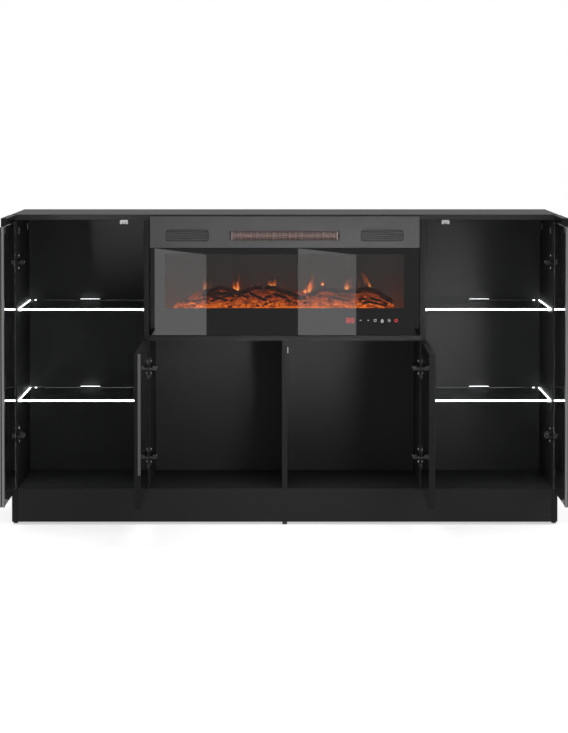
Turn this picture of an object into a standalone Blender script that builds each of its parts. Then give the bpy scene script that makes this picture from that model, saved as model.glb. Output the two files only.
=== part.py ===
"""Electric fireplace sideboard, modelled with its four doors standing open.

A board carcass on a plinth holds two glazed side bays with lit glass shelves, two lower
cupboards and an electric fireplace insert between them. Metres, +Z up, front towards -Y.
The origin is on the floor, midway across the width and midway between the carcass back and
the free edges of the open inner doors.
"""

import math

import bmesh
import bpy
from mathutils import Matrix, Vector

# Carcass sizes
WIDTH = 1.600
HEIGHT = 0.910
DEPTH = 0.382
BOARD = 0.016
BACK_BOARD = 0.003
SEAT = 0.0003
EDGE_ROUND = 0.0008
FOOT_HEIGHT = 0.0075
FOOT_RADIUS = 0.0070
FOOT_INSET = 0.030
PLINTH_HEIGHT = 0.0988
PLINTH_BACK_INSET = 0.020
LOWER_BAY_HEIGHT = 0.4334
CENTRE_BAY_WIDTH = 0.7926
BACK_EDGE_INSET = 0.002

# Doors
DOOR_THICKNESS = 0.018
HINGE_GAP = 0.004
OPEN_OVERHANG = 0.0046
CENTRE_GAP = 0.003
DOOR_FLOOR_GAP = 0.0020
INNER_DOOR_TOP_LAP = 0.001
OUTER_DOOR_TOP_GAP = 0.001
OUTER_PANEL_WIDTH = 0.225
OUTER_FREE_GAP = 0.0087
DOOR_GLASS_THICKNESS = 0.005
DOOR_GLASS_START = 0.062
DOOR_GLASS_Z_GAP = 0.0035
PROFILE_WIDTH = 0.018
PROFILE_WALL = 0.0012
PROFILE_GROOVE_WIDTH = 0.0031
PROFILE_GROOVE_DEPTH = 0.008
PROFILE_WEB = 0.002
PROFILE_OUTER_WALL = 0.005
GRIP_WIDTH = 0.008
GRIP_LENGTH = 0.337
GRIP_THICKNESS = 0.0016

# Concealed hinges
CUP_RADIUS = 0.0175
CUP_DEPTH = 0.0120
CUP_WALL = 0.0008
CUP_EDGE_DISTANCE = 0.0203
CUP_FLANGE_LENGTH = 0.058
CUP_FLANGE_WIDTH = 0.020
CUP_FLANGE_THICKNESS = 0.0012
HINGE_PLATE_THICKNESS = 0.0025
HINGE_PLATE_FRONT = 0.020
HINGE_PLATE_LENGTH = 0.034
HINGE_PLATE_SPAN = 0.058
HINGE_WING_WIDTH = 0.014
HINGE_NECK = 0.003
HINGE_ARM_HEIGHT = 0.0205
HINGE_ARM_WIDTH = 0.013
HINGE_ARM_LENGTH = 0.0625
HINGE_ARM_FRONT = 0.0015
HINGE_NOSE_LOW = 0.0085
HINGE_NOSE_LENGTH = 0.007
HINGE_TAIL_HEIGHT = 0.0115
HINGE_CRANK_START = 0.0070
HINGE_CRANK_THICKNESS = 0.0024
HINGE_CRANK_ROOT = 0.014
KNUCKLE_RADIUS = 0.0017
KNUCKLE_WALL = 0.0006
KNUCKLE_WIDTH = 0.006
HINGE_PIN_RADIUS = 0.0008
OUTER_HINGE_FROM_FLOOR = 0.1534
OUTER_HINGE_FROM_TOP = 0.1240
INNER_HINGE_FROM_FLOOR = 0.0924
INNER_HINGE_FROM_TOP = 0.0805

# Shelves, their pins and lights
SHELF_THICKNESS = 0.005
SHELF_RISES = (0.2534, 0.5224)
SHELF_SETBACK = 0.037
SHELF_DEPTH = 0.335
SHELF_SIDE_GAP = 0.0008
PIN_RADIUS = 0.003
PIN_LENGTH = 0.008
PIN_END_DISTANCE = 0.025
CLIP_LENGTH = 0.062
CLIP_WALL = 0.003
CLIP_GRIP = 0.012
CLIP_CENTRE = 0.597

# Catches
CATCH_WIDTH = 0.022
CATCH_HEIGHT = 0.012
CATCH_LENGTH = 0.024
CATCH_SETBACK = 0.004
CATCH_CENTRE = 0.471
CATCH_NOTCH_WIDTH = 0.010
CATCH_NOTCH_HEIGHT = 0.007
CATCH_ROUND = 0.003
MAGNET_WIDTH = 0.0045
MAGNET_SHORT = 0.001

# Fireplace insert
STEEL = 0.0015
CASING_SIDE_GAP = 0.0113
CASING_DEPTH = 0.180
CASING_TOP_GAP = 0.005
FLANGE_SIDE_GAP = 0.0033
FLANGE_TOP_GAP = 0.0005
FRONT_GLASS_THICKNESS = 0.004
TRIM_SIDE_GAP = 0.0023
TRIM_TOP_DROP = 0.0057
TRIM_HEIGHT = 0.092
TRIM_THICKNESS = 0.006
INTAKE_NEAR = 0.221
INTAKE_LENGTH = 0.128
INTAKE_HEIGHT = 0.036
INTAKE_ROUND = 0.013
LOUVRE_COUNT = 6
LOUVRE_THICKNESS = 0.0012
LOUVRE_CHORD = 0.0055
LOUVRE_TILT = math.radians(35)
OUTLET_LENGTH = 0.322
OUTLET_HEIGHT = 0.029
OUTLET_DROP = 0.0565
GRILLE_THICKNESS = 0.002
GRILLE_BAR = 0.0022
GRILLE_COLUMN_COUNT = 34
GRILLE_ROW_COUNT = 3
REAR_SLOT_COUNT = 12
REAR_SLOT_PITCH = 0.014
REAR_SLOT_WIDTH = 0.005
REAR_SLOT_HEIGHT = 0.060
REAR_SLOT_CENTRE = 0.200
SHIELD_DROP = 0.0810
HOUSING_LENGTH = 0.300
HOUSING_WALL = 0.002
BLOWER_DEPTH = 0.088
DUCT_FRONT = 0.004
DUCT_HEIGHT = 0.043
WHEEL_RADIUS = 0.032
WHEEL_END_GAP = 0.003
WHEEL_DISC = 0.002
BLADE_COUNT = 14
BLADE_CHORD = 0.010
BLADE_THICKNESS = 0.0012
BLADE_TILT = math.radians(25)
SHAFT_RADIUS = 0.003
BLOWER_MOTOR_RADIUS = 0.028
BLOWER_MOTOR_LENGTH = 0.045
HEATER_SETBACK = 0.004
HEATER_DEPTH = 0.020
HEATER_BAR = 0.0030
HEATER_COLUMN_COUNT = 18
HEATER_ROW_COUNT = 2
SCREEN_DEPTH = 0.089
SCREEN_THICKNESS = 0.003
BED_FRONT = 0.0125
BED_WALL = 0.003
BED_HEIGHT = 0.082
BED_SWELL = 0.004
BED_BACK_RISE = 0.026
BED_COLUMN_COUNT = 36
BED_ROW_COUNT = 5
LOG_SINK = 0.009
LOG_TAPER = 0.85
SPINDLE_DEPTH = 0.128
SPINDLE_HEIGHT = 0.054
SPINDLE_TABS = 14
TAB_LENGTH = 0.030
TAB_REACH = 0.0155
TAB_THICKNESS = 0.0012
TAB_TURN = math.radians(50)
SPINDLE_MOTOR_LENGTH = 0.033
SPINDLE_MOTOR_RADIUS = 0.018
BUSH_LENGTH = 0.006
BUSH_RADIUS = 0.009

# Share, wave number along X and wave number along Y of each wave of the ember bed
BED_WAVES = ((0.6, 61.0, 40.0), (0.4, 127.0, -95.0))

# Log layout: position along X, turn in plan, length and radius of each log
LOG_LAYOUT = (
    (-0.182, math.radians(8), 0.125, 0.015),
    (-0.098, math.radians(-20), 0.095, 0.013),
    (0.006, math.radians(16), 0.115, 0.015),
    (0.122, math.radians(-8), 0.135, 0.014),
    (0.255, math.radians(10), 0.120, 0.015),
)

ROUND_STEPS = 20
SMALL_ROUND_STEPS = 12
BIG_ROUND_STEPS = 28
SHARP_ANGLE = math.radians(35)

# Levels and planes worked out from the sizes
PLINTH_Z = FOOT_HEIGHT + SEAT
FLOOR_Z = PLINTH_Z + PLINTH_HEIGHT
CEILING_Z = HEIGHT - BOARD
MANTEL_Z = FLOOR_Z + LOWER_BAY_HEIGHT
HEARTH_Z = MANTEL_Z + BOARD
SIDE_OUTER = WIDTH / 2
SIDE_INNER = SIDE_OUTER - BOARD
PARTITION_INNER = CENTRE_BAY_WIDTH / 2
PARTITION_OUTER = PARTITION_INNER + BOARD
INNER_DOOR_WIDTH = PARTITION_OUTER - CENTRE_GAP / 2
OUTER_DOOR_WIDTH = SIDE_OUTER - PARTITION_OUTER - OUTER_FREE_GAP
BACK_Y = (DEPTH + HINGE_GAP + INNER_DOOR_WIDTH) / 2
FRONT_Y = BACK_Y - DEPTH
BACK_FACE_Y = BACK_Y - BACK_BOARD
BOARD_END_Y = BACK_FACE_Y - SEAT
DOOR_EDGE_Y = FRONT_Y - HINGE_GAP
AXIS_SETBACK = (2 * HINGE_GAP + DOOR_THICKNESS - OPEN_OVERHANG) / 2
AXIS_Y = FRONT_Y - AXIS_SETBACK
AXIS_INSET = HINGE_GAP + DOOR_THICKNESS - AXIS_SETBACK - OPEN_OVERHANG
DOOR_Z = FLOOR_Z + DOOR_FLOOR_GAP
OUTER_HINGE_HEIGHTS = (FLOOR_Z + OUTER_HINGE_FROM_FLOOR, CEILING_Z - OUTER_HINGE_FROM_TOP)
INNER_HINGE_HEIGHTS = (FLOOR_Z + INNER_HINGE_FROM_FLOOR, MANTEL_Z - INNER_HINGE_FROM_TOP)
SHELF_HEIGHTS = tuple(FLOOR_Z + rise for rise in SHELF_RISES)
CASING_WIDTH = CENTRE_BAY_WIDTH - 2 * CASING_SIDE_GAP
FLANGE_WIDTH = CENTRE_BAY_WIDTH - 2 * FLANGE_SIDE_GAP
TRIM_WIDTH = CENTRE_BAY_WIDTH - 2 * TRIM_SIDE_GAP
CASING_Z = HEARTH_Z + SEAT
CASING_TOP_Z = CEILING_Z - CASING_TOP_GAP
CASING_HEIGHT = CASING_TOP_Z - CASING_Z
CAVITY_HALF = CASING_WIDTH / 2 - STEEL
CAVITY_Z = CASING_Z + STEEL
CAVITY_BACK_Y = FRONT_Y + CASING_DEPTH - STEEL
TRIM_TOP_Z = HEIGHT - TRIM_TOP_DROP
TRIM_Z = TRIM_TOP_Z - TRIM_HEIGHT
OUTLET_Z = TRIM_TOP_Z - OUTLET_DROP
SHIELD_Z = CASING_TOP_Z - SHIELD_DROP
SHIELD_TOP_Z = SHIELD_Z + STEEL
BLOWER_Y = FRONT_Y + BLOWER_DEPTH
HOUSING_RADIUS = OUTLET_Z - SHIELD_TOP_Z - SEAT
SPINDLE_Y = FRONT_Y + SPINDLE_DEPTH
SPINDLE_Z = CAVITY_Z + SPINDLE_HEIGHT

# Colour, roughness and metallic value of each finish
FINISHES = {
    "board": ((0.030, 0.030, 0.032), 0.35, 0.0),
    "front": ((0.018, 0.018, 0.020), 0.12, 0.0),
    "backing": ((0.040, 0.038, 0.036), 0.70, 0.0),
    "clear_glass": ((0.55, 0.62, 0.60), 0.05, 0.0),
    "smoked_glass": ((0.05, 0.05, 0.06), 0.05, 0.0),
    "black_glass": ((0.010, 0.010, 0.012), 0.05, 0.0),
    "aluminium": ((0.45, 0.45, 0.46), 0.35, 1.0),
    "nickel": ((0.55, 0.54, 0.52), 0.30, 1.0),
    "grey_plastic": ((0.45, 0.45, 0.45), 0.50, 0.0),
    "black_plastic": ((0.02, 0.02, 0.02), 0.55, 0.0),
    "dark_steel": ((0.05, 0.05, 0.05), 0.45, 0.8),
    "bright_steel": ((0.55, 0.55, 0.55), 0.25, 1.0),
    "trim": ((0.085, 0.085, 0.088), 0.40, 0.2),
    "heater": ((0.22, 0.10, 0.07), 0.60, 0.4),
    "screen": ((0.10, 0.07, 0.05), 0.60, 0.0),
    "ember": ((0.70, 0.18, 0.03), 0.80, 0.0),
}


def clear_scene():
    """Remove every object of the open file."""
    for old in list(bpy.data.objects):
        bpy.data.objects.remove(old, do_unlink=True)


def new_collection(name):
    """A fresh collection under the scene."""
    made = bpy.data.collections.new(name)
    bpy.context.scene.collection.children.link(made)
    return made


def finish_material(name, finish):
    """A Principled material for one piece."""
    colour, roughness, metallic = FINISHES[finish]
    made = bpy.data.materials.new(name)
    made.use_nodes = True
    shader = made.node_tree.nodes["Principled BSDF"]
    shader.inputs["Base Color"].default_value = (*colour, 1.0)
    shader.inputs["Roughness"].default_value = roughness
    shader.inputs["Metallic"].default_value = metallic
    return made


def put_box(bm, x, y, z):
    """Add a box between the given limits; each limit pair may be in either order."""
    low = Vector((min(x), min(y), min(z)))
    high = Vector((max(x), max(y), max(z)))
    place = Matrix.Translation((low + high) / 2) @ Matrix.Diagonal((*(high - low), 1.0))
    bmesh.ops.create_cube(bm, size=1.0, matrix=place)


AXIS_TURNS = {
    "X": Matrix.Rotation(math.pi / 2, 4, "Y"),
    "Y": Matrix.Rotation(math.pi / 2, 4, "X"),
    "Z": Matrix.Identity(4),
}


def put_rod(bm, centre, axis, radius, length, steps=ROUND_STEPS, end_radius=None):
    """Add a round rod, or a tapered one, along an axis."""
    bmesh.ops.create_cone(
        bm, cap_ends=True, segments=steps, radius1=radius,
        radius2=radius if end_radius is None else end_radius, depth=length,
        matrix=Matrix.Translation(centre) @ AXIS_TURNS[axis])


def put_outline(bm, points, thickness, place):
    """Add a flat outline of the given thickness, filled and centred on its plane, then placed."""
    curve = bpy.data.curves.new("outline", "CURVE")
    curve.dimensions = "2D"
    curve.fill_mode = "BOTH"
    curve.extrude = thickness / 2
    spline = curve.splines.new("POLY")
    spline.points.add(len(points) - 1)
    spline.use_cyclic_u = True
    for point, (u, v) in zip(spline.points, points):
        point.co = (u, v, 0.0, 1.0)
    drawn = bpy.data.objects.new("outline", curve)
    bpy.context.scene.collection.objects.link(drawn)
    evaluated = drawn.evaluated_get(bpy.context.evaluated_depsgraph_get())
    mesh = bpy.data.meshes.new_from_object(evaluated)
    bpy.data.objects.remove(drawn)
    bpy.data.curves.remove(curve)
    solid = bmesh.new()
    solid.from_mesh(mesh)
    bmesh.ops.remove_doubles(solid, verts=solid.verts, dist=1e-6)
    bmesh.ops.transform(solid, matrix=place, verts=solid.verts)
    bmesh.ops.recalc_face_normals(solid, faces=solid.faces)
    solid.to_mesh(mesh)
    solid.free()
    bm.from_mesh(mesh)
    bpy.data.meshes.remove(mesh)


def rounded_outline(width, height, radius, steps=6):
    """Corner points of a rectangle whose corners are quarter circles."""
    points = []
    corners = ((1, 1, 0), (-1, 1, 1), (-1, -1, 2), (1, -1, 3))
    for side_u, side_v, quarter in corners:
        for step in range(steps + 1):
            angle = (quarter + step / steps) * math.pi / 2
            points.append((side_u * (width / 2 - radius) + radius * math.cos(angle),
                           side_v * (height / 2 - radius) + radius * math.sin(angle)))
    return points


def facing_front(centre):
    """Place an outline drawn in (X, Z) so that its thickness lies along Y."""
    return Matrix.Translation(centre) @ Matrix.Rotation(math.pi / 2, 4, "X")


class Builder:
    """Makes the named pieces and keeps their collections."""

    def __init__(self):
        self.parts = new_collection("electric_fireplace_sideboard")
        self.cutters = new_collection("cutters")

    def pivot(self, name, place):
        """An empty on a joint axis, which carries the pieces that turn there."""
        empty = bpy.data.objects.new(name, None)
        empty.location = place
        self.parts.objects.link(empty)
        return empty

    def piece(self, name, bm, finish, pivot=None, round_edges=0.0, smooth=False):
        """Turn a world-space bmesh into a named piece, with its origin in its middle or on its pivot."""
        if pivot is None:
            corners = [v.co for v in bm.verts]
            low = Vector(tuple(min(c[i] for c in corners) for i in range(3)))
            high = Vector(tuple(max(c[i] for c in corners) for i in range(3)))
            origin = (low + high) / 2
        else:
            origin = pivot.location.copy()
        bmesh.ops.translate(bm, vec=-origin, verts=bm.verts)
        mesh = bpy.data.meshes.new(name)
        bm.to_mesh(mesh)
        bm.free()
        made = bpy.data.objects.new(name, mesh)
        mesh.materials.append(finish_material(name, finish))
        if pivot is None:
            made.location = origin
        else:
            made.parent = pivot
        self.parts.objects.link(made)
        if smooth:
            mesh.shade_smooth()
            mesh.set_sharp_from_angle(angle=SHARP_ANGLE)
        if round_edges > 0.0:
            bevel = made.modifiers.new("edges", "BEVEL")
            bevel.width = round_edges
            bevel.segments = 1
            bevel.limit_method = "ANGLE"
        return made

    def board(self, name, x, y, z, finish="board", pivot=None, round_edges=EDGE_ROUND):
        """A box with slightly rounded edges."""
        bm = bmesh.new()
        put_box(bm, x, y, z)
        return self.piece(name, bm, finish, pivot, round_edges)

    def cut(self, target, bm, operation="DIFFERENCE"):
        """Cut, or join, a world-space bmesh with a piece."""
        name = f"{target.name}_{operation.lower()}_{len(target.modifiers)}"
        mesh = bpy.data.meshes.new(name)
        bm.to_mesh(mesh)
        bm.free()
        tool = bpy.data.objects.new(name, mesh)
        tool.hide_render = True
        tool.display_type = "WIRE"
        self.cutters.objects.link(tool)
        change = target.modifiers.new(name, "BOOLEAN")
        change.operation = operation
        change.object = tool


def put_pins(bm, wall, inward):
    """Shelf pins standing out of a wall, two under each shelf; their roots lie inside the wall."""
    front = FRONT_Y + SHELF_SETBACK
    root = BOARD / 2
    for height in SHELF_HEIGHTS:
        z = height - SHELF_THICKNESS / 2 - SEAT - PIN_RADIUS
        for y in (front + PIN_END_DISTANCE, front + SHELF_DEPTH - PIN_END_DISTANCE):
            put_rod(bm, (wall + inward * (PIN_LENGTH - root) / 2, y, z), "X", PIN_RADIUS, PIN_LENGTH + root,
                    SMALL_ROUND_STEPS)


def put_foot(bm, x, y):
    """A nailed glide under a board, with its root inside the board."""
    root = BOARD / 4
    put_rod(bm, (x, y, (PLINTH_Z + root) / 2), "Z", FOOT_RADIUS, PLINTH_Z + root)


def build_carcass(make):
    """Boards of the cabinet with their shelf pins and glides, the plinth and the backs."""
    boards_y = (FRONT_Y, BOARD_END_Y)
    plinth_back_y = FRONT_Y + BOARD
    rear_plinth_y = (BOARD_END_Y - PLINTH_BACK_INSET - BOARD, BOARD_END_Y - PLINTH_BACK_INSET)
    rear_foot_y = (rear_plinth_y[0] + rear_plinth_y[1]) / 2
    make.board("top_panel", (-SIDE_OUTER, SIDE_OUTER), (FRONT_Y, BACK_Y), (CEILING_Z, HEIGHT))
    for name, side in (("left", -1), ("right", 1)):
        panel = make.board(f"side_panel_{name}", (side * SIDE_INNER, side * SIDE_OUTER), boards_y,
                           (PLINTH_Z, CEILING_Z - SEAT))
        fittings = bmesh.new()
        put_pins(fittings, side * SIDE_INNER, -side)
        for y in (FRONT_Y + FOOT_INSET, rear_foot_y):
            put_foot(fittings, side * (SIDE_OUTER - BOARD / 2), y)
        make.cut(panel, fittings, "UNION")
        partition = make.board(f"partition_{name}", (side * PARTITION_INNER, side * PARTITION_OUTER), boards_y,
                               (FLOOR_Z + SEAT, CEILING_Z - SEAT))
        pins = bmesh.new()
        put_pins(pins, side * PARTITION_OUTER, side)
        make.cut(partition, pins, "UNION")
        make.board(f"back_panel_{name}",
                   (side * (SIDE_OUTER - BACK_EDGE_INSET), side * (PARTITION_OUTER - BOARD / 2 + SEAT)),
                   (BACK_FACE_Y, BACK_Y), (FLOOR_Z - BOARD, CEILING_Z - SEAT), "backing", None, 0.0)
    between_sides = (SEAT - SIDE_INNER, SIDE_INNER - SEAT)
    plinth = make.board("plinth_front", between_sides, (FRONT_Y, plinth_back_y), (PLINTH_Z, FLOOR_Z))
    foot = bmesh.new()
    put_foot(foot, 0.0, FRONT_Y + BOARD / 2)
    make.cut(plinth, foot, "UNION")
    make.board("bottom_panel", between_sides, (plinth_back_y + SEAT, BOARD_END_Y), (FLOOR_Z - BOARD, FLOOR_Z))
    plinth_back = make.board("plinth_back", between_sides, rear_plinth_y, (PLINTH_Z, FLOOR_Z - BOARD - SEAT))
    rear_foot = bmesh.new()
    put_foot(rear_foot, 0.0, rear_foot_y)
    make.cut(plinth_back, rear_foot, "UNION")
    make.board("centre_divider", (-BOARD / 2, BOARD / 2), boards_y, (FLOOR_Z + SEAT, MANTEL_Z - SEAT))
    make.board("fireplace_shelf", (SEAT - PARTITION_INNER, PARTITION_INNER - SEAT), boards_y,
               (MANTEL_Z, HEARTH_Z))
    centre_half = PARTITION_INNER + BOARD / 2 - SEAT
    make.board("back_panel_centre", (-centre_half, centre_half), (BACK_FACE_Y, BACK_Y),
               (FLOOR_Z - BOARD, HEARTH_Z), "backing", None, 0.0)


def build_shelves(make):
    """Glass shelves and the light clips on their rear edges."""
    front = FRONT_Y + SHELF_SETBACK
    rear = front + SHELF_DEPTH
    near, far = PARTITION_OUTER + SHELF_SIDE_GAP, SIDE_INNER - SHELF_SIDE_GAP
    for name, side in (("left", -1), ("right", 1)):
        clip_x = (side * (CLIP_CENTRE - CLIP_LENGTH / 2), side * (CLIP_CENTRE + CLIP_LENGTH / 2))
        for level, height in zip(("lower", "upper"), SHELF_HEIGHTS):
            low, high = height - SHELF_THICKNESS / 2, height + SHELF_THICKNESS / 2
            make.board(f"glass_shelf_{name}_{level}", (side * near, side * far), (front, rear), (low, high),
                       "clear_glass")
            clip = make.board(f"led_clip_{name}_{level}", clip_x, (rear - CLIP_GRIP, rear + SEAT + CLIP_WALL),
                              (low - SEAT - CLIP_WALL, high + SEAT + CLIP_WALL), "grey_plastic", None, 0.0)
            slot = bmesh.new()
            put_box(slot, (clip_x[0] - side * CLIP_WALL, clip_x[1] + side * CLIP_WALL),
                    (rear - 2 * CLIP_GRIP, rear + SEAT), (low - SEAT, high + SEAT))
            make.cut(clip, slot)


def build_hinge_arm(make, name, wall, inward, height):
    """Carcass half of a hinge: a winged plate on a wall, its arm and the crank that ends in a knuckle."""
    half_span, half_wing = HINGE_PLATE_SPAN / 2, HINGE_ARM_WIDTH / 2
    start, end = HINGE_PLATE_FRONT, HINGE_PLATE_FRONT + HINGE_PLATE_LENGTH
    wing_a = (start + end - HINGE_WING_WIDTH) / 2
    wing_b = wing_a + HINGE_WING_WIDTH
    neck = half_wing + HINGE_NECK
    plate_outline = [(start, half_wing), (start, -half_wing), (wing_a, -neck), (wing_a, -half_span),
                     (wing_b, -half_span), (wing_b, -neck), (end, -half_wing), (end, half_wing),
                     (wing_b, neck), (wing_b, half_span), (wing_a, half_span), (wing_a, neck)]
    face = wall + inward * SEAT
    across = Matrix(((0, 0, 1, 0), (1, 0, 0, 0), (0, 1, 0, 0), (0, 0, 0, 1)))
    middle = face + inward * HINGE_PLATE_THICKNESS / 2
    plate = bmesh.new()
    put_outline(plate, plate_outline, HINGE_PLATE_THICKNESS,
                Matrix.Translation((middle, FRONT_Y, height)) @ across)
    made = make.piece(name, plate, "nickel")
    base = HINGE_PLATE_THICKNESS / 2
    nose = HINGE_ARM_FRONT
    tail = nose + HINGE_ARM_LENGTH
    root = start + HINGE_PLATE_THICKNESS
    arm_outline = [(base, tail), (base, root), (HINGE_NOSE_LOW, nose + HINGE_NOSE_LENGTH),
                   (HINGE_NOSE_LOW, nose), (HINGE_ARM_HEIGHT, nose), (HINGE_ARM_HEIGHT, root),
                   (HINGE_TAIL_HEIGHT, tail)]
    arm = bmesh.new()
    put_outline(arm, [(inward * u, v) for u, v in arm_outline], HINGE_ARM_WIDTH - SEAT,
                Matrix.Translation((face, FRONT_Y, height)))
    make.cut(made, arm, "UNION")
    axis_u = AXIS_INSET - BOARD
    crank_end = -AXIS_SETBACK - HINGE_CRANK_THICKNESS
    crank_far = HINGE_CRANK_START + HINGE_CRANK_THICKNESS
    crank_outline = [(axis_u, -AXIS_SETBACK), (HINGE_CRANK_START, -AXIS_SETBACK),
                     (HINGE_CRANK_START, HINGE_CRANK_ROOT), (crank_far, HINGE_CRANK_ROOT),
                     (crank_far, crank_end), (axis_u, crank_end)]
    crank = bmesh.new()
    put_outline(crank, [(inward * u, v) for u, v in crank_outline], KNUCKLE_WIDTH,
                Matrix.Translation((wall, FRONT_Y, height)))
    make.cut(made, crank, "UNION")
    axis = (wall + inward * axis_u, AXIS_Y, height)
    knuckle = bmesh.new()
    put_rod(knuckle, axis, "Z", KNUCKLE_RADIUS, KNUCKLE_WIDTH - SEAT, SMALL_ROUND_STEPS)
    make.cut(made, knuckle, "UNION")
    bore = bmesh.new()
    put_rod(bore, axis, "Z", KNUCKLE_RADIUS - KNUCKLE_WALL, 2 * KNUCKLE_WIDTH, SMALL_ROUND_STEPS)
    make.cut(made, bore)


def build_hinge_arms(make):
    """Carcass halves of the eight concealed hinges."""
    for name, side in (("left", -1), ("right", 1)):
        for level, height in zip(("lower", "upper"), OUTER_HINGE_HEIGHTS):
            build_hinge_arm(make, f"hinge_arm_outer_{name}_{level}", side * SIDE_INNER, -side, height)
        for level, height in zip(("lower", "upper"), INNER_HINGE_HEIGHTS):
            build_hinge_arm(make, f"hinge_arm_inner_{name}_{level}", side * PARTITION_INNER, -side, height)


def build_hinge_cups(make, name, side, door, inner_face, heights, pivot):
    """Door halves of two hinges, each sunk in a bore of the door leaf."""
    bores = bmesh.new()
    centre_y = DOOR_EDGE_Y - CUP_EDGE_DISTANCE
    face_x = side * inner_face
    bore_depth = CUP_DEPTH + SEAT
    cup_start = face_x - side * (SEAT + CUP_FLANGE_THICKNESS / 2)
    cup_length = CUP_DEPTH + SEAT + CUP_FLANGE_THICKNESS / 2
    hollow_end = face_x + side * (CUP_DEPTH - CUP_WALL)
    pin_offset = CUP_EDGE_DISTANCE + HINGE_GAP - AXIS_SETBACK + HINGE_PIN_RADIUS
    pin_reach = math.sqrt((CUP_RADIUS - SEAT - CUP_WALL / 2) ** 2 - pin_offset ** 2)
    for level, height in zip(("lower", "upper"), heights):
        put_rod(bores, (face_x + side * (bore_depth / 2 - SEAT), centre_y, height), "X", CUP_RADIUS + SEAT,
                bore_depth + 2 * SEAT)
        cup = bmesh.new()
        put_rod(cup, (cup_start + side * cup_length / 2, centre_y, height), "X", CUP_RADIUS - SEAT, cup_length)
        made = make.piece(f"hinge_cup_{name}_{level}", cup, "nickel", pivot)
        flange = bmesh.new()
        put_box(flange, (face_x - side * SEAT, face_x - side * (SEAT + CUP_FLANGE_THICKNESS)),
                (centre_y - CUP_FLANGE_WIDTH / 2, centre_y + CUP_FLANGE_WIDTH / 2),
                (height - CUP_FLANGE_LENGTH / 2, height + CUP_FLANGE_LENGTH / 2))
        make.cut(made, flange, "UNION")
        hollow = bmesh.new()
        put_rod(hollow, (hollow_end - side * CUP_DEPTH, centre_y, height), "X", CUP_RADIUS - SEAT - CUP_WALL,
                2 * CUP_DEPTH)
        make.cut(made, hollow)
        pin = bmesh.new()
        put_rod(pin, (pivot.location.x, AXIS_Y, height), "Z", HINGE_PIN_RADIUS, 2 * pin_reach,
                SMALL_ROUND_STEPS)
        make.cut(made, pin, "UNION")
    make.cut(door, bores)


def door_pivot(make, name, side, edge):
    """The pivot of a door whose closed hinge edge lies at the given distance from the centre."""
    return make.pivot(f"{name}_pivot", (side * (edge - AXIS_INSET), AXIS_Y, DOOR_Z))


def build_inner_doors(make):
    """Solid doors of the two lower cupboards."""
    outer_face = PARTITION_OUTER + OPEN_OVERHANG
    inner_face = outer_face - DOOR_THICKNESS
    free_y = DOOR_EDGE_Y - INNER_DOOR_WIDTH
    top = MANTEL_Z + INNER_DOOR_TOP_LAP
    for name, side in (("inner_left", -1), ("inner_right", 1)):
        pivot = door_pivot(make, name, side, PARTITION_OUTER)
        door = make.board(f"door_panel_{name}", (side * inner_face, side * outer_face),
                          (free_y, DOOR_EDGE_Y), (DOOR_Z, top), "front", pivot)
        build_hinge_cups(make, name, side, door, inner_face, INNER_HINGE_HEIGHTS, pivot)
        if side < 0:
            rebate = bmesh.new()
            put_box(rebate, (side * (inner_face - SEAT), side * (inner_face + GRIP_WIDTH + SEAT)),
                    (free_y - GRIP_THICKNESS, free_y + GRIP_THICKNESS + SEAT),
                    (top - GRIP_LENGTH - SEAT, top + SEAT))
            make.cut(door, rebate)
            make.board("grip_strip", (side * inner_face, side * (inner_face + GRIP_WIDTH)),
                       (free_y, free_y + GRIP_THICKNESS), (top - GRIP_LENGTH, top),
                       "aluminium", pivot, 0.0)


def build_outer_doors(make):
    """Doors of the side bays: a solid hinge-side panel, a smoked pane and an edge profile."""
    outer_face = SIDE_OUTER + OPEN_OVERHANG
    inner_face = outer_face - DOOR_THICKNESS
    free_y = DOOR_EDGE_Y - OUTER_DOOR_WIDTH
    glass_z = (FLOOR_Z + DOOR_GLASS_Z_GAP, CEILING_Z - DOOR_GLASS_Z_GAP)
    glass_outer = inner_face - SEAT
    glass_inner = glass_outer - DOOR_GLASS_THICKNESS
    profile_inner = glass_inner - SEAT - PROFILE_WALL
    profile_outer = glass_outer + SEAT + PROFILE_GROOVE_WIDTH + PROFILE_OUTER_WALL
    slot_y = free_y + PROFILE_GROOVE_DEPTH + PROFILE_WEB
    past = 2 * SEAT
    tall_z = (glass_z[0] - past, glass_z[1] + past)
    for name, side in (("outer_left", -1), ("outer_right", 1)):
        pivot = door_pivot(make, name, side, SIDE_OUTER)
        door = make.board(f"door_panel_{name}", (side * inner_face, side * outer_face),
                          (DOOR_EDGE_Y - OUTER_PANEL_WIDTH, DOOR_EDGE_Y),
                          (DOOR_Z, HEIGHT - OUTER_DOOR_TOP_GAP), "front", pivot)
        build_hinge_cups(make, name, side, door, inner_face, OUTER_HINGE_HEIGHTS, pivot)
        make.board(f"door_glass_{name}", (side * glass_inner, side * glass_outer),
                   (slot_y + SEAT, DOOR_EDGE_Y - DOOR_GLASS_START), glass_z, "smoked_glass", pivot,
                   EDGE_ROUND / 2)
        profile = make.board(f"door_profile_{name}", (side * profile_inner, side * profile_outer),
                             (free_y, free_y + PROFILE_WIDTH), glass_z, "aluminium", pivot, 0.0)
        slot = bmesh.new()
        put_box(slot, (side * (glass_inner - SEAT), side * (glass_outer + SEAT)),
                (slot_y, free_y + PROFILE_WIDTH + past), tall_z)
        make.cut(profile, slot)
        groove = bmesh.new()
        groove_x = glass_outer + SEAT
        put_box(groove, (side * groove_x, side * (groove_x + PROFILE_GROOVE_WIDTH)),
                (free_y - past, free_y + PROFILE_GROOVE_DEPTH), tall_z)
        make.cut(profile, groove)


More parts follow.
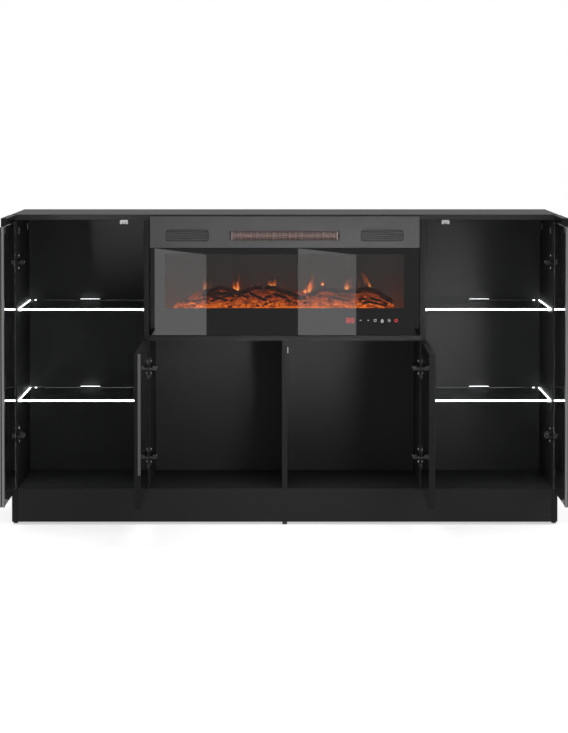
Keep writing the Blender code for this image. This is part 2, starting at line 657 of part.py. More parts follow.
def build_catches(make):
    """Magnetic catches under the top, each with its magnet between two cheeks."""
    half, notch, magnet = CATCH_WIDTH / 2, CATCH_NOTCH_WIDTH / 2, MAGNET_WIDTH / 2
    mouth = CATCH_NOTCH_HEIGHT - CATCH_HEIGHT
    magnet_end = MAGNET_SHORT - CATCH_HEIGHT
    body = [(-half, -CATCH_HEIGHT), (-notch, -CATCH_HEIGHT), (-notch, mouth), (-magnet, mouth),
            (-magnet, magnet_end), (magnet, magnet_end), (magnet, mouth), (notch, mouth),
            (notch, -CATCH_HEIGHT), (half, -CATCH_HEIGHT), (half, -CATCH_ROUND),
            (half - CATCH_ROUND, 0.0), (CATCH_ROUND - half, 0.0), (-half, -CATCH_ROUND)]
    middle_y = FRONT_Y + CATCH_SETBACK + CATCH_LENGTH / 2
    for name, side in (("left", -1), ("right", 1)):
        catch = bmesh.new()
        put_outline(catch, body, CATCH_LENGTH, facing_front((side * CATCH_CENTRE, middle_y, CEILING_Z - SEAT)))
        make.piece(f"door_catch_{name}", catch, "grey_plastic")


def build_casing(make):
    """Steel casing of the insert, with its front flange and rear slots, and the shield inside it."""
    half = CASING_WIDTH / 2
    casing = make.board("fireplace_casing", (-half, half), (FRONT_Y, FRONT_Y + CASING_DEPTH),
                        (CASING_Z, CASING_TOP_Z), "dark_steel", None, 0.0)
    flange = bmesh.new()
    put_box(flange, (-FLANGE_WIDTH / 2, FLANGE_WIDTH / 2), (FRONT_Y, FRONT_Y + STEEL),
            (CASING_Z, CEILING_Z - FLANGE_TOP_GAP))
    make.cut(casing, flange, "UNION")
    cavity = bmesh.new()
    put_box(cavity, (-CAVITY_HALF, CAVITY_HALF), (FRONT_Y - STEEL, CAVITY_BACK_Y),
            (CAVITY_Z, CASING_TOP_Z - STEEL))
    make.cut(casing, cavity)
    slots = bmesh.new()
    slot_z = (CASING_Z + (CASING_HEIGHT - REAR_SLOT_HEIGHT) / 2,
              CASING_Z + (CASING_HEIGHT + REAR_SLOT_HEIGHT) / 2)
    for side in (-1, 1):
        for index in range(REAR_SLOT_COUNT):
            x = side * REAR_SLOT_CENTRE + (index - (REAR_SLOT_COUNT - 1) / 2) * REAR_SLOT_PITCH
            put_box(slots, (x - REAR_SLOT_WIDTH / 2, x + REAR_SLOT_WIDTH / 2),
                    (CAVITY_BACK_Y - STEEL, FRONT_Y + CASING_DEPTH + STEEL), slot_z)
    make.cut(casing, slots)
    inside = CAVITY_HALF + STEEL / 2
    shield = bmesh.new()
    put_box(shield, (-inside, inside), (FRONT_Y + STEEL / 2, CAVITY_BACK_Y + STEEL / 2),
            (SHIELD_Z, SHIELD_TOP_Z))
    make.cut(casing, shield, "UNION")
    bush = bmesh.new()
    put_rod(bush, ((BUSH_LENGTH - inside - CAVITY_HALF) / 2, SPINDLE_Y, SPINDLE_Z), "X", BUSH_RADIUS,
            inside - CAVITY_HALF + BUSH_LENGTH)
    make.cut(casing, bush, "UNION")
    bore = bmesh.new()
    put_rod(bore, (BUSH_LENGTH / 2 + BUSH_LENGTH - CAVITY_HALF, SPINDLE_Y, SPINDLE_Z), "X", SHAFT_RADIUS + SEAT,
            3 * BUSH_LENGTH)
    make.cut(casing, bore)


def build_insert_front(make):
    """Black glass front, the trim above it with its louvres, and the outlet grille."""
    half = FLANGE_WIDTH / 2
    glass_y = (FRONT_Y - SEAT - FRONT_GLASS_THICKNESS, FRONT_Y - SEAT)
    make.board("front_glass", (-half, half), glass_y, (CASING_Z, TRIM_Z - SEAT), "black_glass")
    trim_y = (FRONT_Y - SEAT - TRIM_THICKNESS, FRONT_Y - SEAT)
    trim = make.board("vent_trim", (-TRIM_WIDTH / 2, TRIM_WIDTH / 2), trim_y, (TRIM_Z, TRIM_TOP_Z),
                      "trim")
    middle_y = (trim_y[0] + trim_y[1]) / 2
    windows = bmesh.new()
    louvres = bmesh.new()
    pitch = INTAKE_HEIGHT / LOUVRE_COUNT
    for side in (-1, 1):
        centre = (side * (INTAKE_NEAR + INTAKE_LENGTH / 2), middle_y, OUTLET_Z)
        put_outline(windows, rounded_outline(INTAKE_LENGTH, INTAKE_HEIGHT, INTAKE_ROUND),
                    2 * TRIM_THICKNESS, facing_front(centre))
        for index in range(LOUVRE_COUNT):
            rise = (index - (LOUVRE_COUNT - 1) / 2) * pitch
            reach = abs(rise) + LOUVRE_CHORD / 2 * math.sin(LOUVRE_TILT) + LOUVRE_THICKNESS / 2
            past = max(0.0, reach - (INTAKE_HEIGHT / 2 - INTAKE_ROUND))
            narrowing = INTAKE_ROUND - math.sqrt(INTAKE_ROUND ** 2 - past ** 2)
            length = INTAKE_LENGTH - 2 * narrowing + 2 * STEEL
            place = (Matrix.Translation((centre[0], middle_y, OUTLET_Z + rise))
                     @ Matrix.Rotation(LOUVRE_TILT, 4, "X")
                     @ Matrix.Diagonal((length, LOUVRE_CHORD, LOUVRE_THICKNESS, 1.0)))
            bmesh.ops.create_cube(louvres, size=1.0, matrix=place)
    make.cut(trim, windows)
    make.cut(trim, louvres, "UNION")
    outlet = bmesh.new()
    put_box(outlet, (-OUTLET_LENGTH / 2, OUTLET_LENGTH / 2), (trim_y[0] - STEEL, trim_y[1] + STEEL),
            (OUTLET_Z - OUTLET_HEIGHT / 2, OUTLET_Z + OUTLET_HEIGHT / 2))
    make.cut(trim, outlet)
    build_lattice(make, "outlet_grille", OUTLET_LENGTH - 2 * SEAT, OUTLET_HEIGHT - 2 * SEAT,
                  (middle_y - GRILLE_THICKNESS / 2, middle_y + GRILLE_THICKNESS / 2),
                  GRILLE_COLUMN_COUNT, GRILLE_ROW_COUNT, GRILLE_BAR, "heater")


def build_lattice(make, name, width, height, y, columns, rows, bar, finish):
    """An upright plate round the outlet level, pierced by a regular grid of holes."""
    plate = make.board(name, (-width / 2, width / 2), y, (OUTLET_Z - height / 2, OUTLET_Z + height / 2),
                       finish, None, 0.0)
    holes = bmesh.new()
    hole_width = (width - (columns + 1) * bar) / columns
    hole_height = (height - (rows + 1) * bar) / rows
    for column in range(columns):
        x = -width / 2 + bar + column * (hole_width + bar)
        for row in range(rows):
            z = OUTLET_Z - height / 2 + bar + row * (hole_height + bar)
            put_box(holes, (x, x + hole_width), (y[0] - bar, y[1] + bar), (z, z + hole_height))
    make.cut(plate, holes)


def build_heater(make):
    """Blower, its housing and motor, and the heater block in the outlet duct."""
    half = HOUSING_LENGTH / 2
    centre = (0.0, BLOWER_Y, OUTLET_Z)
    shell = bmesh.new()
    put_rod(shell, centre, "X", HOUSING_RADIUS, HOUSING_LENGTH, BIG_ROUND_STEPS)
    housing = make.piece("blower_housing", shell, "dark_steel")
    duct_half = DUCT_HEIGHT / 2
    duct_y = (FRONT_Y + DUCT_FRONT, BLOWER_Y)
    duct = bmesh.new()
    put_box(duct, (-half, half), duct_y, (OUTLET_Z - duct_half, OUTLET_Z + duct_half))
    make.cut(housing, duct, "UNION")
    inner = half - HOUSING_WALL
    chamber = bmesh.new()
    put_rod(chamber, centre, "X", HOUSING_RADIUS - HOUSING_WALL, 2 * inner, BIG_ROUND_STEPS)
    make.cut(housing, chamber)
    bore = bmesh.new()
    put_box(bore, (-inner, inner), (duct_y[0] - HOUSING_WALL, duct_y[1]),
            (OUTLET_Z - duct_half + HOUSING_WALL, OUTLET_Z + duct_half - HOUSING_WALL))
    make.cut(housing, bore)
    intake = bmesh.new()
    put_box(intake, (-inner + HOUSING_WALL, inner - HOUSING_WALL), (BLOWER_Y, BLOWER_Y + 2 * HOUSING_RADIUS),
            (OUTLET_Z, OUTLET_Z + HOUSING_RADIUS / 2))
    make.cut(housing, intake)
    shaft_holes = bmesh.new()
    put_rod(shaft_holes, centre, "X", SHAFT_RADIUS + SEAT, HOUSING_LENGTH + 2 * HOUSING_WALL)
    make.cut(housing, shaft_holes)
    build_blower_wheel(make, centre, inner - WHEEL_END_GAP, half)
    motor = bmesh.new()
    put_rod(motor, (half + SEAT + BLOWER_MOTOR_LENGTH / 2, BLOWER_Y, OUTLET_Z), "X", BLOWER_MOTOR_RADIUS,
            BLOWER_MOTOR_LENGTH, BIG_ROUND_STEPS)
    make.piece("blower_motor", motor, "bright_steel", round_edges=STEEL, smooth=True)
    heater_y = (duct_y[0] + HEATER_SETBACK, duct_y[0] + HEATER_SETBACK + HEATER_DEPTH)
    build_lattice(make, "heater_element", 2 * (inner - SEAT), DUCT_HEIGHT - 2 * HOUSING_WALL - 2 * SEAT,
                  heater_y, HEATER_COLUMN_COUNT, HEATER_ROW_COUNT, HEATER_BAR, "heater")


def build_blower_wheel(make, centre, half_length, shaft_half):
    """A drum of straight blades between two discs on a shaft, which turns about X."""
    pivot = make.pivot("blower_pivot", centre)
    blades = bmesh.new()
    reach = half_length - WHEEL_DISC / 2
    for index in range(BLADE_COUNT):
        place = (Matrix.Translation(centre)
                 @ Matrix.Rotation(2 * math.pi * index / BLADE_COUNT, 4, "X")
                 @ Matrix.Translation((0.0, 0.0, WHEEL_RADIUS - BLADE_CHORD / 2 - STEEL))
                 @ Matrix.Rotation(BLADE_TILT, 4, "X")
                 @ Matrix.Diagonal((2 * reach, BLADE_THICKNESS, BLADE_CHORD, 1.0)))
        bmesh.ops.create_cube(blades, size=1.0, matrix=place)
    wheel = make.piece("blower_wheel", blades, "bright_steel", pivot)
    discs = bmesh.new()
    for side in (-1, 1):
        x = centre[0] + side * (half_length - WHEEL_DISC / 2)
        put_rod(discs, (x, centre[1], centre[2]), "X", WHEEL_RADIUS, WHEEL_DISC, BIG_ROUND_STEPS)
    make.cut(wheel, discs, "UNION")
    shaft = bmesh.new()
    put_rod(shaft, centre, "X", SHAFT_RADIUS, 2 * shaft_half)
    make.cut(wheel, shaft, "UNION")


def bed_rise(x, y):
    """Height of the ember bed above its mean level: crossed waves of unlike length."""
    return sum(share * BED_SWELL * math.sin(along * x + across * y) for share, along, across in BED_WAVES)


def join_logs(make, bed, middle_y, level):
    """Logs lying on the bed at the given level, each tapered and turned in plan, moulded in one with it."""
    for x, turn, length, radius in LOG_LAYOUT:
        log = bmesh.new()
        place = (Matrix.Translation((x, middle_y, level + radius - LOG_SINK))
                 @ Matrix.Rotation(turn, 4, "Z") @ AXIS_TURNS["X"])
        bmesh.ops.create_cone(log, cap_ends=True, segments=SMALL_ROUND_STEPS, radius1=radius,
                              radius2=LOG_TAPER * radius, depth=length, matrix=place)
        make.cut(bed, log, "UNION")


def build_fire(make):
    """Ember bed with its moulded logs, the flame screen, and the flicker spindle with its motor."""
    bed_y = (FRONT_Y + BED_FRONT, FRONT_Y + SCREEN_DEPTH - SEAT)
    half = CAVITY_HALF - SEAT
    base_z = CAVITY_Z + SEAT
    top_z = base_z + BED_HEIGHT
    middle_y = (bed_y[0] + bed_y[1]) / 2
    bed = bmesh.new()
    place = (Matrix.Translation((0.0, middle_y, top_z))
             @ Matrix.Diagonal((2 * half, bed_y[1] - bed_y[0], 1.0, 1.0)))
    bmesh.ops.create_grid(bed, x_segments=BED_COLUMN_COUNT, y_segments=BED_ROW_COUNT, size=0.5, matrix=place)
    for vertex in bed.verts:
        back_share = (vertex.co.y - bed_y[0]) / (bed_y[1] - bed_y[0])
        vertex.co.z += bed_rise(vertex.co.x, vertex.co.y) + back_share * BED_BACK_RISE
    lower = bmesh.ops.extrude_face_region(bed, geom=list(bed.faces))
    for item in lower["geom"]:
        if isinstance(item, bmesh.types.BMVert):
            item.co.z = base_z
    bmesh.ops.recalc_face_normals(bed, faces=bed.faces)
    ember = make.piece("ember_bed", bed, "ember")
    hollow = bmesh.new()
    put_box(hollow, (BED_WALL - half, half - BED_WALL), (bed_y[0] + BED_WALL, bed_y[1] - BED_WALL),
            (base_z - BED_WALL, top_z - 2 * BED_SWELL))
    make.cut(ember, hollow)
    join_logs(make, ember, middle_y, top_z + BED_BACK_RISE / 2)
    screen_y = FRONT_Y + SCREEN_DEPTH
    make.board("flame_screen", (-half, half), (screen_y, screen_y + SCREEN_THICKNESS),
               (base_z, SHIELD_Z - SEAT), "screen", None, 0.0)
    build_spindle(make)


def build_spindle(make):
    """The flicker spindle: a rod with mirror tabs set round it, between the casing's bush and a motor."""
    half = CAVITY_HALF - SEAT
    motor_x = half - SPINDLE_MOTOR_LENGTH
    rod_x = (SEAT - CAVITY_HALF, motor_x - SEAT)
    pivot = make.pivot("spindle_pivot", (0.0, SPINDLE_Y, SPINDLE_Z))
    tabs = bmesh.new()
    first = BUSH_LENGTH - half + TAB_LENGTH
    pitch = (motor_x - TAB_LENGTH - first) / (SPINDLE_TABS - 1)
    for index in range(SPINDLE_TABS):
        place = (Matrix.Translation((first + index * pitch, SPINDLE_Y, SPINDLE_Z))
                 @ Matrix.Rotation(TAB_TURN * index, 4, "X")
                 @ Matrix.Diagonal((TAB_LENGTH, TAB_THICKNESS, 2 * TAB_REACH, 1.0)))
        bmesh.ops.create_cube(tabs, size=1.0, matrix=place)
    spindle = make.piece("flame_spindle", tabs, "bright_steel", pivot)
    rod = bmesh.new()
    put_rod(rod, ((rod_x[0] + rod_x[1]) / 2, SPINDLE_Y, SPINDLE_Z), "X", SHAFT_RADIUS, rod_x[1] - rod_x[0])
    make.cut(spindle, rod, "UNION")
    motor = bmesh.new()
    put_rod(motor, (motor_x + SPINDLE_MOTOR_LENGTH / 2, SPINDLE_Y, SPINDLE_Z), "X", SPINDLE_MOTOR_RADIUS,
            SPINDLE_MOTOR_LENGTH, BIG_ROUND_STEPS)
    make.piece("spindle_motor", motor, "black_plastic", round_edges=STEEL, smooth=True)


def main():
    """Build every piece of the sideboard."""
    clear_scene()
    make = Builder()
    build_carcass(make)
    build_shelves(make)
    build_hinge_arms(make)
    build_inner_doors(make)
    build_outer_doors(make)
    build_catches(make)
    build_casing(make)
    build_insert_front(make)
    build_heater(make)
    build_fire(make)
    bpy.context.view_layer.update()


main()
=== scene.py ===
"""Electric fireplace sideboard: finishes, small fittings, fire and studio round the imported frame.

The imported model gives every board, door, hinge and casing. This file gives them their finishes and adds
the pieces that are too small or too loose for the model: screws, caps, strikes, logs, embers, flames and
the touch display. All lengths are in metres, in the frame of the model: +Z up, front towards -Y.
"""

import math

import bpy
import numpy as np
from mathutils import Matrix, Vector


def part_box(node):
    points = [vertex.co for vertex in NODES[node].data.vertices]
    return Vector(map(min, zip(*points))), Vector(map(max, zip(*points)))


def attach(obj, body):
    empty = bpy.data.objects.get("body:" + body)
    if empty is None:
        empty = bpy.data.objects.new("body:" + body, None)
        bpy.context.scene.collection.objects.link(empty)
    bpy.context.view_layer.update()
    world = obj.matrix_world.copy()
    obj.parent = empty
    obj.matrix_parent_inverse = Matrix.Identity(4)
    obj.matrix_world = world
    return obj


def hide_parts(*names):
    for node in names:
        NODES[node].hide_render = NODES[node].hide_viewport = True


bl_info = {
    "name": "Electric fireplace sideboard",
    "version": (1, 0, 0),
    "blender": (4, 5, 0),
    "location": "View3D > Sidebar > Sideboard",
    "description": "Finishes, fittings, fire and studio of an electric fireplace sideboard",
    "category": "Object",
}

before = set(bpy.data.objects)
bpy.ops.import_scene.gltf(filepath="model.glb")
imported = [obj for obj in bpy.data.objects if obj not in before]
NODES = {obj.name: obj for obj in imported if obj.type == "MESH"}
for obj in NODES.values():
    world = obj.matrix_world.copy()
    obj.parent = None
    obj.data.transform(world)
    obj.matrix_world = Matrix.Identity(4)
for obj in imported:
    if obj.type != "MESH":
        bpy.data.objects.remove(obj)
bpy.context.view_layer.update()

LEVELS = ("lower", "upper")
SIDES = (("left", -1), ("right", 1))
DOOR_PLACES = ("outer", "inner")

# A back panel lies this far behind a side panel, and a glass shelf stands this far off a partition
BACK_OVERLAP = 0.014
SHELF_PLAY = 0.0008
FRONT_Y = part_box("plinth_front")[0].y
SIDE_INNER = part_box("back_panel_right")[1].x - BACK_OVERLAP
PARTITION_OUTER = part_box("glass_shelf_right_lower")[0].x - SHELF_PLAY
GLASS_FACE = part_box("front_glass")[0].y
SCREEN_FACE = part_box("flame_screen")[0].y
BED_LOW, BED_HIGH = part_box("ember_bed")


# Surfaces


def round_angles(count):
    """Angles of a full turn in equal steps; the last one stops a step short of the first."""
    return np.linspace(0, 2 * np.pi, count, endpoint=False)


def grid_quads(rows, columns, wrap=False):
    """Quads of a rows by columns grid of points; wrap joins the last column to the first."""
    i, j = np.meshgrid(np.arange(rows - 1), np.arange(columns if wrap else columns - 1), indexing="ij")
    here, beside = i * columns + j, i * columns + (j + 1) % columns
    return np.stack([here, here + columns, beside + columns, beside], -1).reshape(-1, 4)


def skin(rings):
    """Closed skin over rings of points, shape (rows, columns, 3): quads between rings, a fan on each end.

    The signed volume, the sum of p . (q x r) / 6 over the triangles, turns the faces outwards.
    """
    rows, columns, _ = rings.shape
    points = np.concatenate([rings.reshape(-1, 3), rings[[0, -1]].mean(axis=1)])
    quads = grid_quads(rows, columns, True)
    j = np.arange(columns)
    k = (j + 1) % columns
    base = (rows - 1) * columns
    first = np.stack([np.full(columns, rows * columns), j, k], -1)
    last = np.stack([np.full(columns, rows * columns + 1), base + k, base + j], -1)
    fans = np.concatenate([first, last])
    halves = np.concatenate([quads[:, [0, 1, 2]], quads[:, [0, 2, 3]], fans])
    p, q, r = (points[halves[:, n]] for n in range(3))
    if np.einsum("ij,ij->", p, np.cross(q, r)) < 0:
        quads, fans = quads[:, ::-1], fans[:, ::-1]
    return points, quads, fans


def with_ends(values, first, last):
    """Values for the points of a skin: those of its rings, then those of its two end centres."""
    return np.concatenate([np.ravel(values), [first, last]])


def turned(profile, steps):
    """Rings of a profile of (radius, height) turned about Z: (r cos a, r sin a, h)."""
    angle = round_angles(steps)
    radius, height = np.asarray(profile, float).T[:, :, None]
    return np.stack([radius * np.cos(angle), radius * np.sin(angle), height * np.ones(steps)], -1)


def swept(path, across, up):
    """Rings carried along a path: centre + across * side + up * top at each point.

    side is the path's direction crossed with +Y, and top is side crossed with the direction. across and
    up are arrays of shape (points, columns).
    """
    path = np.asarray(path, float)
    along = np.gradient(path, axis=0)
    along /= np.linalg.norm(along, axis=1, keepdims=True)
    side = np.cross(along, (0.0, 1.0, 0.0))
    side /= np.linalg.norm(side, axis=1, keepdims=True)
    top = np.cross(side, along)
    return path[:, None] + across[..., None] * side[:, None] + up[..., None] * top[:, None]


def round_tube(path, radius, steps):
    """A tube of one radius along a path."""
    angle = round_angles(steps)
    radii = np.full((len(path), 1), radius)
    return swept(path, radii * np.cos(angle), radii * np.sin(angle))


def curve_through(points, count):
    """A smooth path through a few points: each coordinate is a cubic Hermite of its chord slopes."""
    points = np.asarray(points, float)
    slopes = np.gradient(points, axis=0)
    place = np.linspace(0, len(points) - 1, count)
    index = np.minimum(place.astype(int), len(points) - 2)
    t = (place - index)[:, None]
    a, b, m, n = points[index], points[index + 1], slopes[index], slopes[index + 1]
    return ((2 * t**3 - 3 * t**2 + 1) * a + (t**3 - 2 * t**2 + t) * m
            + (3 * t**2 - 2 * t**3) * b + (t**3 - t**2) * n)


def pillow(low, high, soften):
    """A block with softened edges: rounded-rectangle rings across X and Z, drawn in towards both Y ends.

    A ring is (sign(cos a) |cos a|^c, sign(sin a) |sin a|^c) times the half width and height, both less
    soften (1 - cos b). It lies soften (1 - |sin b|) in from the end, as b runs from -90 to 90 degrees.
    """
    low, high = np.asarray(low, float), np.asarray(high, float)
    centre, half = (low + high) / 2, (high - low) / 2
    rings, columns, corner = 10, 24, 0.25
    angle = round_angles(columns) + np.pi / columns
    lift = np.linspace(-np.pi / 2, np.pi / 2, rings)[:, None]
    inset = soften * (1 - np.cos(lift))
    depth = np.where(lift < 0, soften * (1 + np.sin(lift)) - half[1], half[1] - soften * (1 - np.sin(lift)))
    x, z = (np.sign(share) * np.abs(share) ** corner for share in (np.cos(angle), np.sin(angle)))
    return np.stack([centre[0] + x * (half[0] - inset), centre[1] + depth * np.ones(columns),
                     centre[2] + z * (half[2] - inset)], -1)


def facing(direction, lean=0.0):
    """A turn that takes +Z to the X direction of the given sign, leaned towards +Y."""
    normal = np.array([direction * math.cos(lean), math.sin(lean), 0.0])
    across = np.array([0.0, 0.0, 1.0])
    return np.stack([np.cross(across, normal), across, normal], axis=1)


def copies(surface, turns, places):
    """Copies of one surface, each with its own turn and place, or all with one turn: p -> T p + place."""
    points, quads, fans = surface
    places = np.asarray(places, float)
    turns = np.broadcast_to(np.asarray(turns, float), (len(places), 3, 3))
    moved = np.einsum("nij,pj->npi", turns, points) + places[:, None]
    step = (np.arange(len(places)) * len(points))[:, None, None]
    return moved.reshape(-1, 3), (quads + step).reshape(-1, 4), (fans + step).reshape(-1, 3)


def joined(surfaces):
    """Several surfaces as one, their faces counted on from each other's points."""
    points, quads, fans = zip(*surfaces)
    starts = np.cumsum([0] + [len(own) for own in points[:-1]])
    faces = (np.concatenate([own + start for own, start in zip(kind, starts)]) for kind in (quads, fans))
    return np.concatenate(points), *faces


def add_piece(name, surface, material, body, sharp=40.0, values=None):
    """Put a surface into a mesh object at the origin that rides on a body.

    Edges that turn by more than sharp degrees stay sharp; values are point attributes.
    """
    points, quads, fans = surface
    mesh = bpy.data.meshes.new(name)
    mesh.from_pydata(points.tolist(), [], quads.tolist() + fans.tolist())
    mesh.validate()
    for label, numbers in (values or {}).items():
        attribute = mesh.attributes.new(label, "FLOAT", "POINT")
        attribute.data.foreach_set("value", np.asarray(numbers, np.float32))
    mesh.shade_smooth()
    mesh.set_sharp_from_angle(angle=math.radians(sharp))
    mesh.materials.append(material)
    made = bpy.data.objects.new(name, mesh)
    bpy.context.scene.collection.objects.link(made)
    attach(made, body)
    return made


# Finishes

# The usual range of a noise, and the share of a normal along X from which a point counts as a door's face
NOISE_RANGE = (0.3, 0.7)
FLAT_FACE = 0.95
UNSTRETCHED = (1.0, 1.0, 1.0)
WHITE = (1.0, 1.0, 1.0)
COOL_WHITE = (0.95, 0.98, 1.0)


def opaque(colour):
    """A colour with full alpha, as a socket takes it."""
    return (*colour[:3], 1.0)


def shade(colour, factor):
    """A colour times a factor."""
    return tuple(min(1.0, c * factor) for c in colour[:3])


class Finish:
    """One procedural material: a Principled shader and the nodes that feed it."""

    def __init__(self, name, colour, roughness, metallic=0.0, specular=0.5):
        self.material = bpy.data.materials.new(name)
        self.material.use_nodes = True
        self.tree = self.material.node_tree
        self.shader = self.tree.nodes["Principled BSDF"]
        self.set("Base Color", opaque(colour))
        self.set("Roughness", roughness)
        self.set("Metallic", metallic)
        self.set("Specular IOR Level", specular)

    def set(self, socket, value):
        """A constant on the shader's own socket."""
        self.shader.inputs[socket].default_value = value

    def feed(self, socket, output):
        """A value that changes over the surface."""
        self.tree.links.new(output, self.shader.inputs[socket])

    def node(self, kind, inputs=None, **settings):
        """A node with its settings, and its inputs linked or set."""
        made = self.tree.nodes.new(kind)
        for key, value in settings.items():
            setattr(made, key, value)
        for key, value in (inputs or {}).items():
            if isinstance(value, bpy.types.NodeSocket):
                self.tree.links.new(value, made.inputs[key])
            else:
                made.inputs[key].default_value = value
        return made

    def place(self, stretch):
        """Object coordinates, stretched for a pattern that runs along a piece."""
        source = self.node("ShaderNodeTexCoord").outputs["Object"]
        return self.node("ShaderNodeMapping", {"Vector": source, "Scale": stretch}).outputs["Vector"]

    def axes(self, kind="Object"):
        """X, Y and Z of the object coordinates, or of another kind such as the normal."""
        source = self.node("ShaderNodeTexCoord").outputs[kind]
        return self.node("ShaderNodeSeparateXYZ", {"Vector": source}).outputs

    def attribute(self, name):
        """A point attribute of the mesh."""
        return self.node("ShaderNodeAttribute", attribute_name=name).outputs["Fac"]

    def noise(self, scale, detail=4.0, stretch=UNSTRETCHED):
        """Fractal noise from 0 to 1."""
        inputs = {"Vector": self.place(stretch), "Scale": scale, "Detail": detail}
        return self.node("ShaderNodeTexNoise", inputs).outputs[0]

    def cracks(self, scale, stretch):
        """Distance to the nearest edge of a cell pattern."""
        inputs = {"Vector": self.place(stretch), "Scale": scale}
        return self.node("ShaderNodeTexVoronoi", inputs, feature="DISTANCE_TO_EDGE").outputs["Distance"]

    def math(self, operation, a, b=0.0):
        """One operation on two values."""
        return self.node("ShaderNodeMath", {0: a, 1: b}, operation=operation).outputs[0]

    def product(self, first, *others):
        """Several values multiplied together."""
        for other in others:
            first = self.math("MULTIPLY", first, other)
        return first

    def size(self, value):
        """A value without its sign."""
        return self.math("ABSOLUTE", value)

    def inside(self, value, low, high):
        """1 where a value lies between two limits, else 0."""
        return self.product(self.math("GREATER_THAN", value, low), self.math("LESS_THAN", value, high))

    def span(self, value, low, high, to_low=0.0, to_high=1.0):
        """Carry low..high to to_low..to_high, held at the ends."""
        inputs = {"Value": value, "From Min": low, "From Max": high, "To Min": to_low, "To Max": to_high}
        return self.node("ShaderNodeMapRange", inputs).outputs["Result"]

    def choose(self, where, outside, within):
        """One number where a mask is 0 and another where it is 1."""
        return self.span(where, 0.0, 1.0, outside, within)

    def varied(self, noise, low, high):
        """A number from low to high over the usual range of a noise."""
        return self.span(noise, *NOISE_RANGE, low, high)

    def ramp(self, factor, stops):
        """A colour ramp of (position, colour) stops."""
        made = self.node("ShaderNodeValToRGB", {"Fac": factor})
        points = made.color_ramp.elements
        while len(points) < len(stops):
            points.new(0.5)
        for point, (position, colour) in zip(points, stops):
            point.position = position
            point.color = opaque(colour)
        return made.outputs["Color"]

    def tones(self, noise, colour, dark, light):
        """A colour from its dark to its light share over the usual range of a noise."""
        return self.ramp(noise, list(zip(NOISE_RANGE, (shade(colour, dark), shade(colour, light)))))

    def mix(self, factor, a, b):
        """Colour a where the factor is 0 and b where it is 1, on the node's sockets for colours."""
        a, b = (end if isinstance(end, bpy.types.NodeSocket) else opaque(end) for end in (a, b))
        return self.node("ShaderNodeMix", {0: factor, 6: a, 7: b}, data_type="RGBA").outputs[2]

    def bump(self, height, strength, distance):
        """Surface relief from a height."""
        inputs = {"Height": height, "Strength": strength, "Distance": distance}
        self.feed("Normal", self.node("ShaderNodeBump", inputs).outputs["Normal"])


def board_foil(name, colour, grain, roughness=0.5, specular=0.3, pins=None, edge_shade=1.0):
    """Foil on chipboard: faint streaks along the grain, pores in relief, bright shelf pins and grey glides.

    pins is (sign, limit): the pins lie where sign * X goes past limit. The glides lie under the boards.
    The last argument is the tone of the front edges as a share of the colour: painted shade on them. A darker
    edge is duller too, as a matt edge band.
    """
    edge_depth, edge_specular = 0.0004, 0.15
    glide_top, glide_grey, pin_steel = 0.0077, (0.05, 0.05, 0.052), (0.55, 0.55, 0.54)
    finish = Finish(name, colour, roughness, specular=specular)
    streak = finish.noise(26.0, 6.0, grain)
    pores = finish.noise(420.0, 2.0, tuple(0.25 + 0.1 * stretch for stretch in grain))
    x, y, z = finish.axes()
    front = finish.math("LESS_THAN", y, FRONT_Y + edge_depth)
    # Painted shade: the front edges take the darker edge tone.
    base = finish.mix(front, finish.tones(streak, colour, 0.88, 1.14), shade(colour, edge_shade))
    if edge_shade < 1.0:
        finish.feed("Specular IOR Level", finish.choose(front, specular, edge_specular))
    base = finish.mix(finish.math("LESS_THAN", z, glide_top), base, glide_grey)
    if pins:
        sign, limit = pins
        pin = finish.math("GREATER_THAN", finish.product(x, sign), limit)
        base = finish.mix(pin, base, pin_steel)
        finish.feed("Metallic", pin)
    finish.feed("Base Color", base)
    finish.feed("Roughness", finish.varied(pores, roughness - 0.06, roughness + 0.06))
    finish.bump(pores, 0.12, 0.0004)
    return finish.material


def gloss_front(name, colour, roughness, edge_roughness):
    """High-gloss lacquer on both faces of a door, with matt edging where the normal leaves the X axis."""
    face_specular, edge_specular = 0.5, 0.12
    finish = Finish(name, colour, roughness, specular=face_specular)
    face = finish.math("GREATER_THAN", finish.size(finish.axes("Normal")[0]), FLAT_FACE)
    dust = finish.span(finish.noise(160.0, 3.0), 0.35, 0.75, roughness * 0.7, roughness * 1.6)
    finish.feed("Base Color", finish.tones(finish.noise(3.0, 3.0), colour, 0.85, 1.15))
    finish.feed("Roughness", finish.math("MAXIMUM", dust, finish.choose(face, edge_roughness, 0.0)))
    finish.feed("Specular IOR Level", finish.choose(face, edge_specular, face_specular))
    finish.bump(finish.noise(9.0, 2.0), 0.02, 0.002)
    return finish.material


def grooved_profile(name, colour, groove_low, groove_high, front_y):
    """Anodised door profile: streaks along its length, and painted shade in its groove: black, not metallic.

    The groove lies between two limits of |X|, behind the face at front_y.
    """
    groove_shade_black = (0.004, 0.004, 0.004)
    finish = Finish(name, colour, 0.4, metallic=1.0)
    streak = finish.noise(300.0, 5.0, (6.0, 6.0, 0.3))
    x, y, _ = finish.axes()
    groove = finish.product(finish.inside(finish.size(x), groove_low, groove_high),
                            finish.math("GREATER_THAN", y, front_y))
    # Painted shade: the groove is black and not metallic.
    finish.feed("Base Color", finish.mix(groove, finish.tones(streak, colour, 0.85, 1.12), groove_shade_black))
    finish.feed("Metallic", finish.math("SUBTRACT", 1.0, groove))
    finish.feed("Roughness", finish.varied(streak, 0.32, 0.5))
    return finish.material


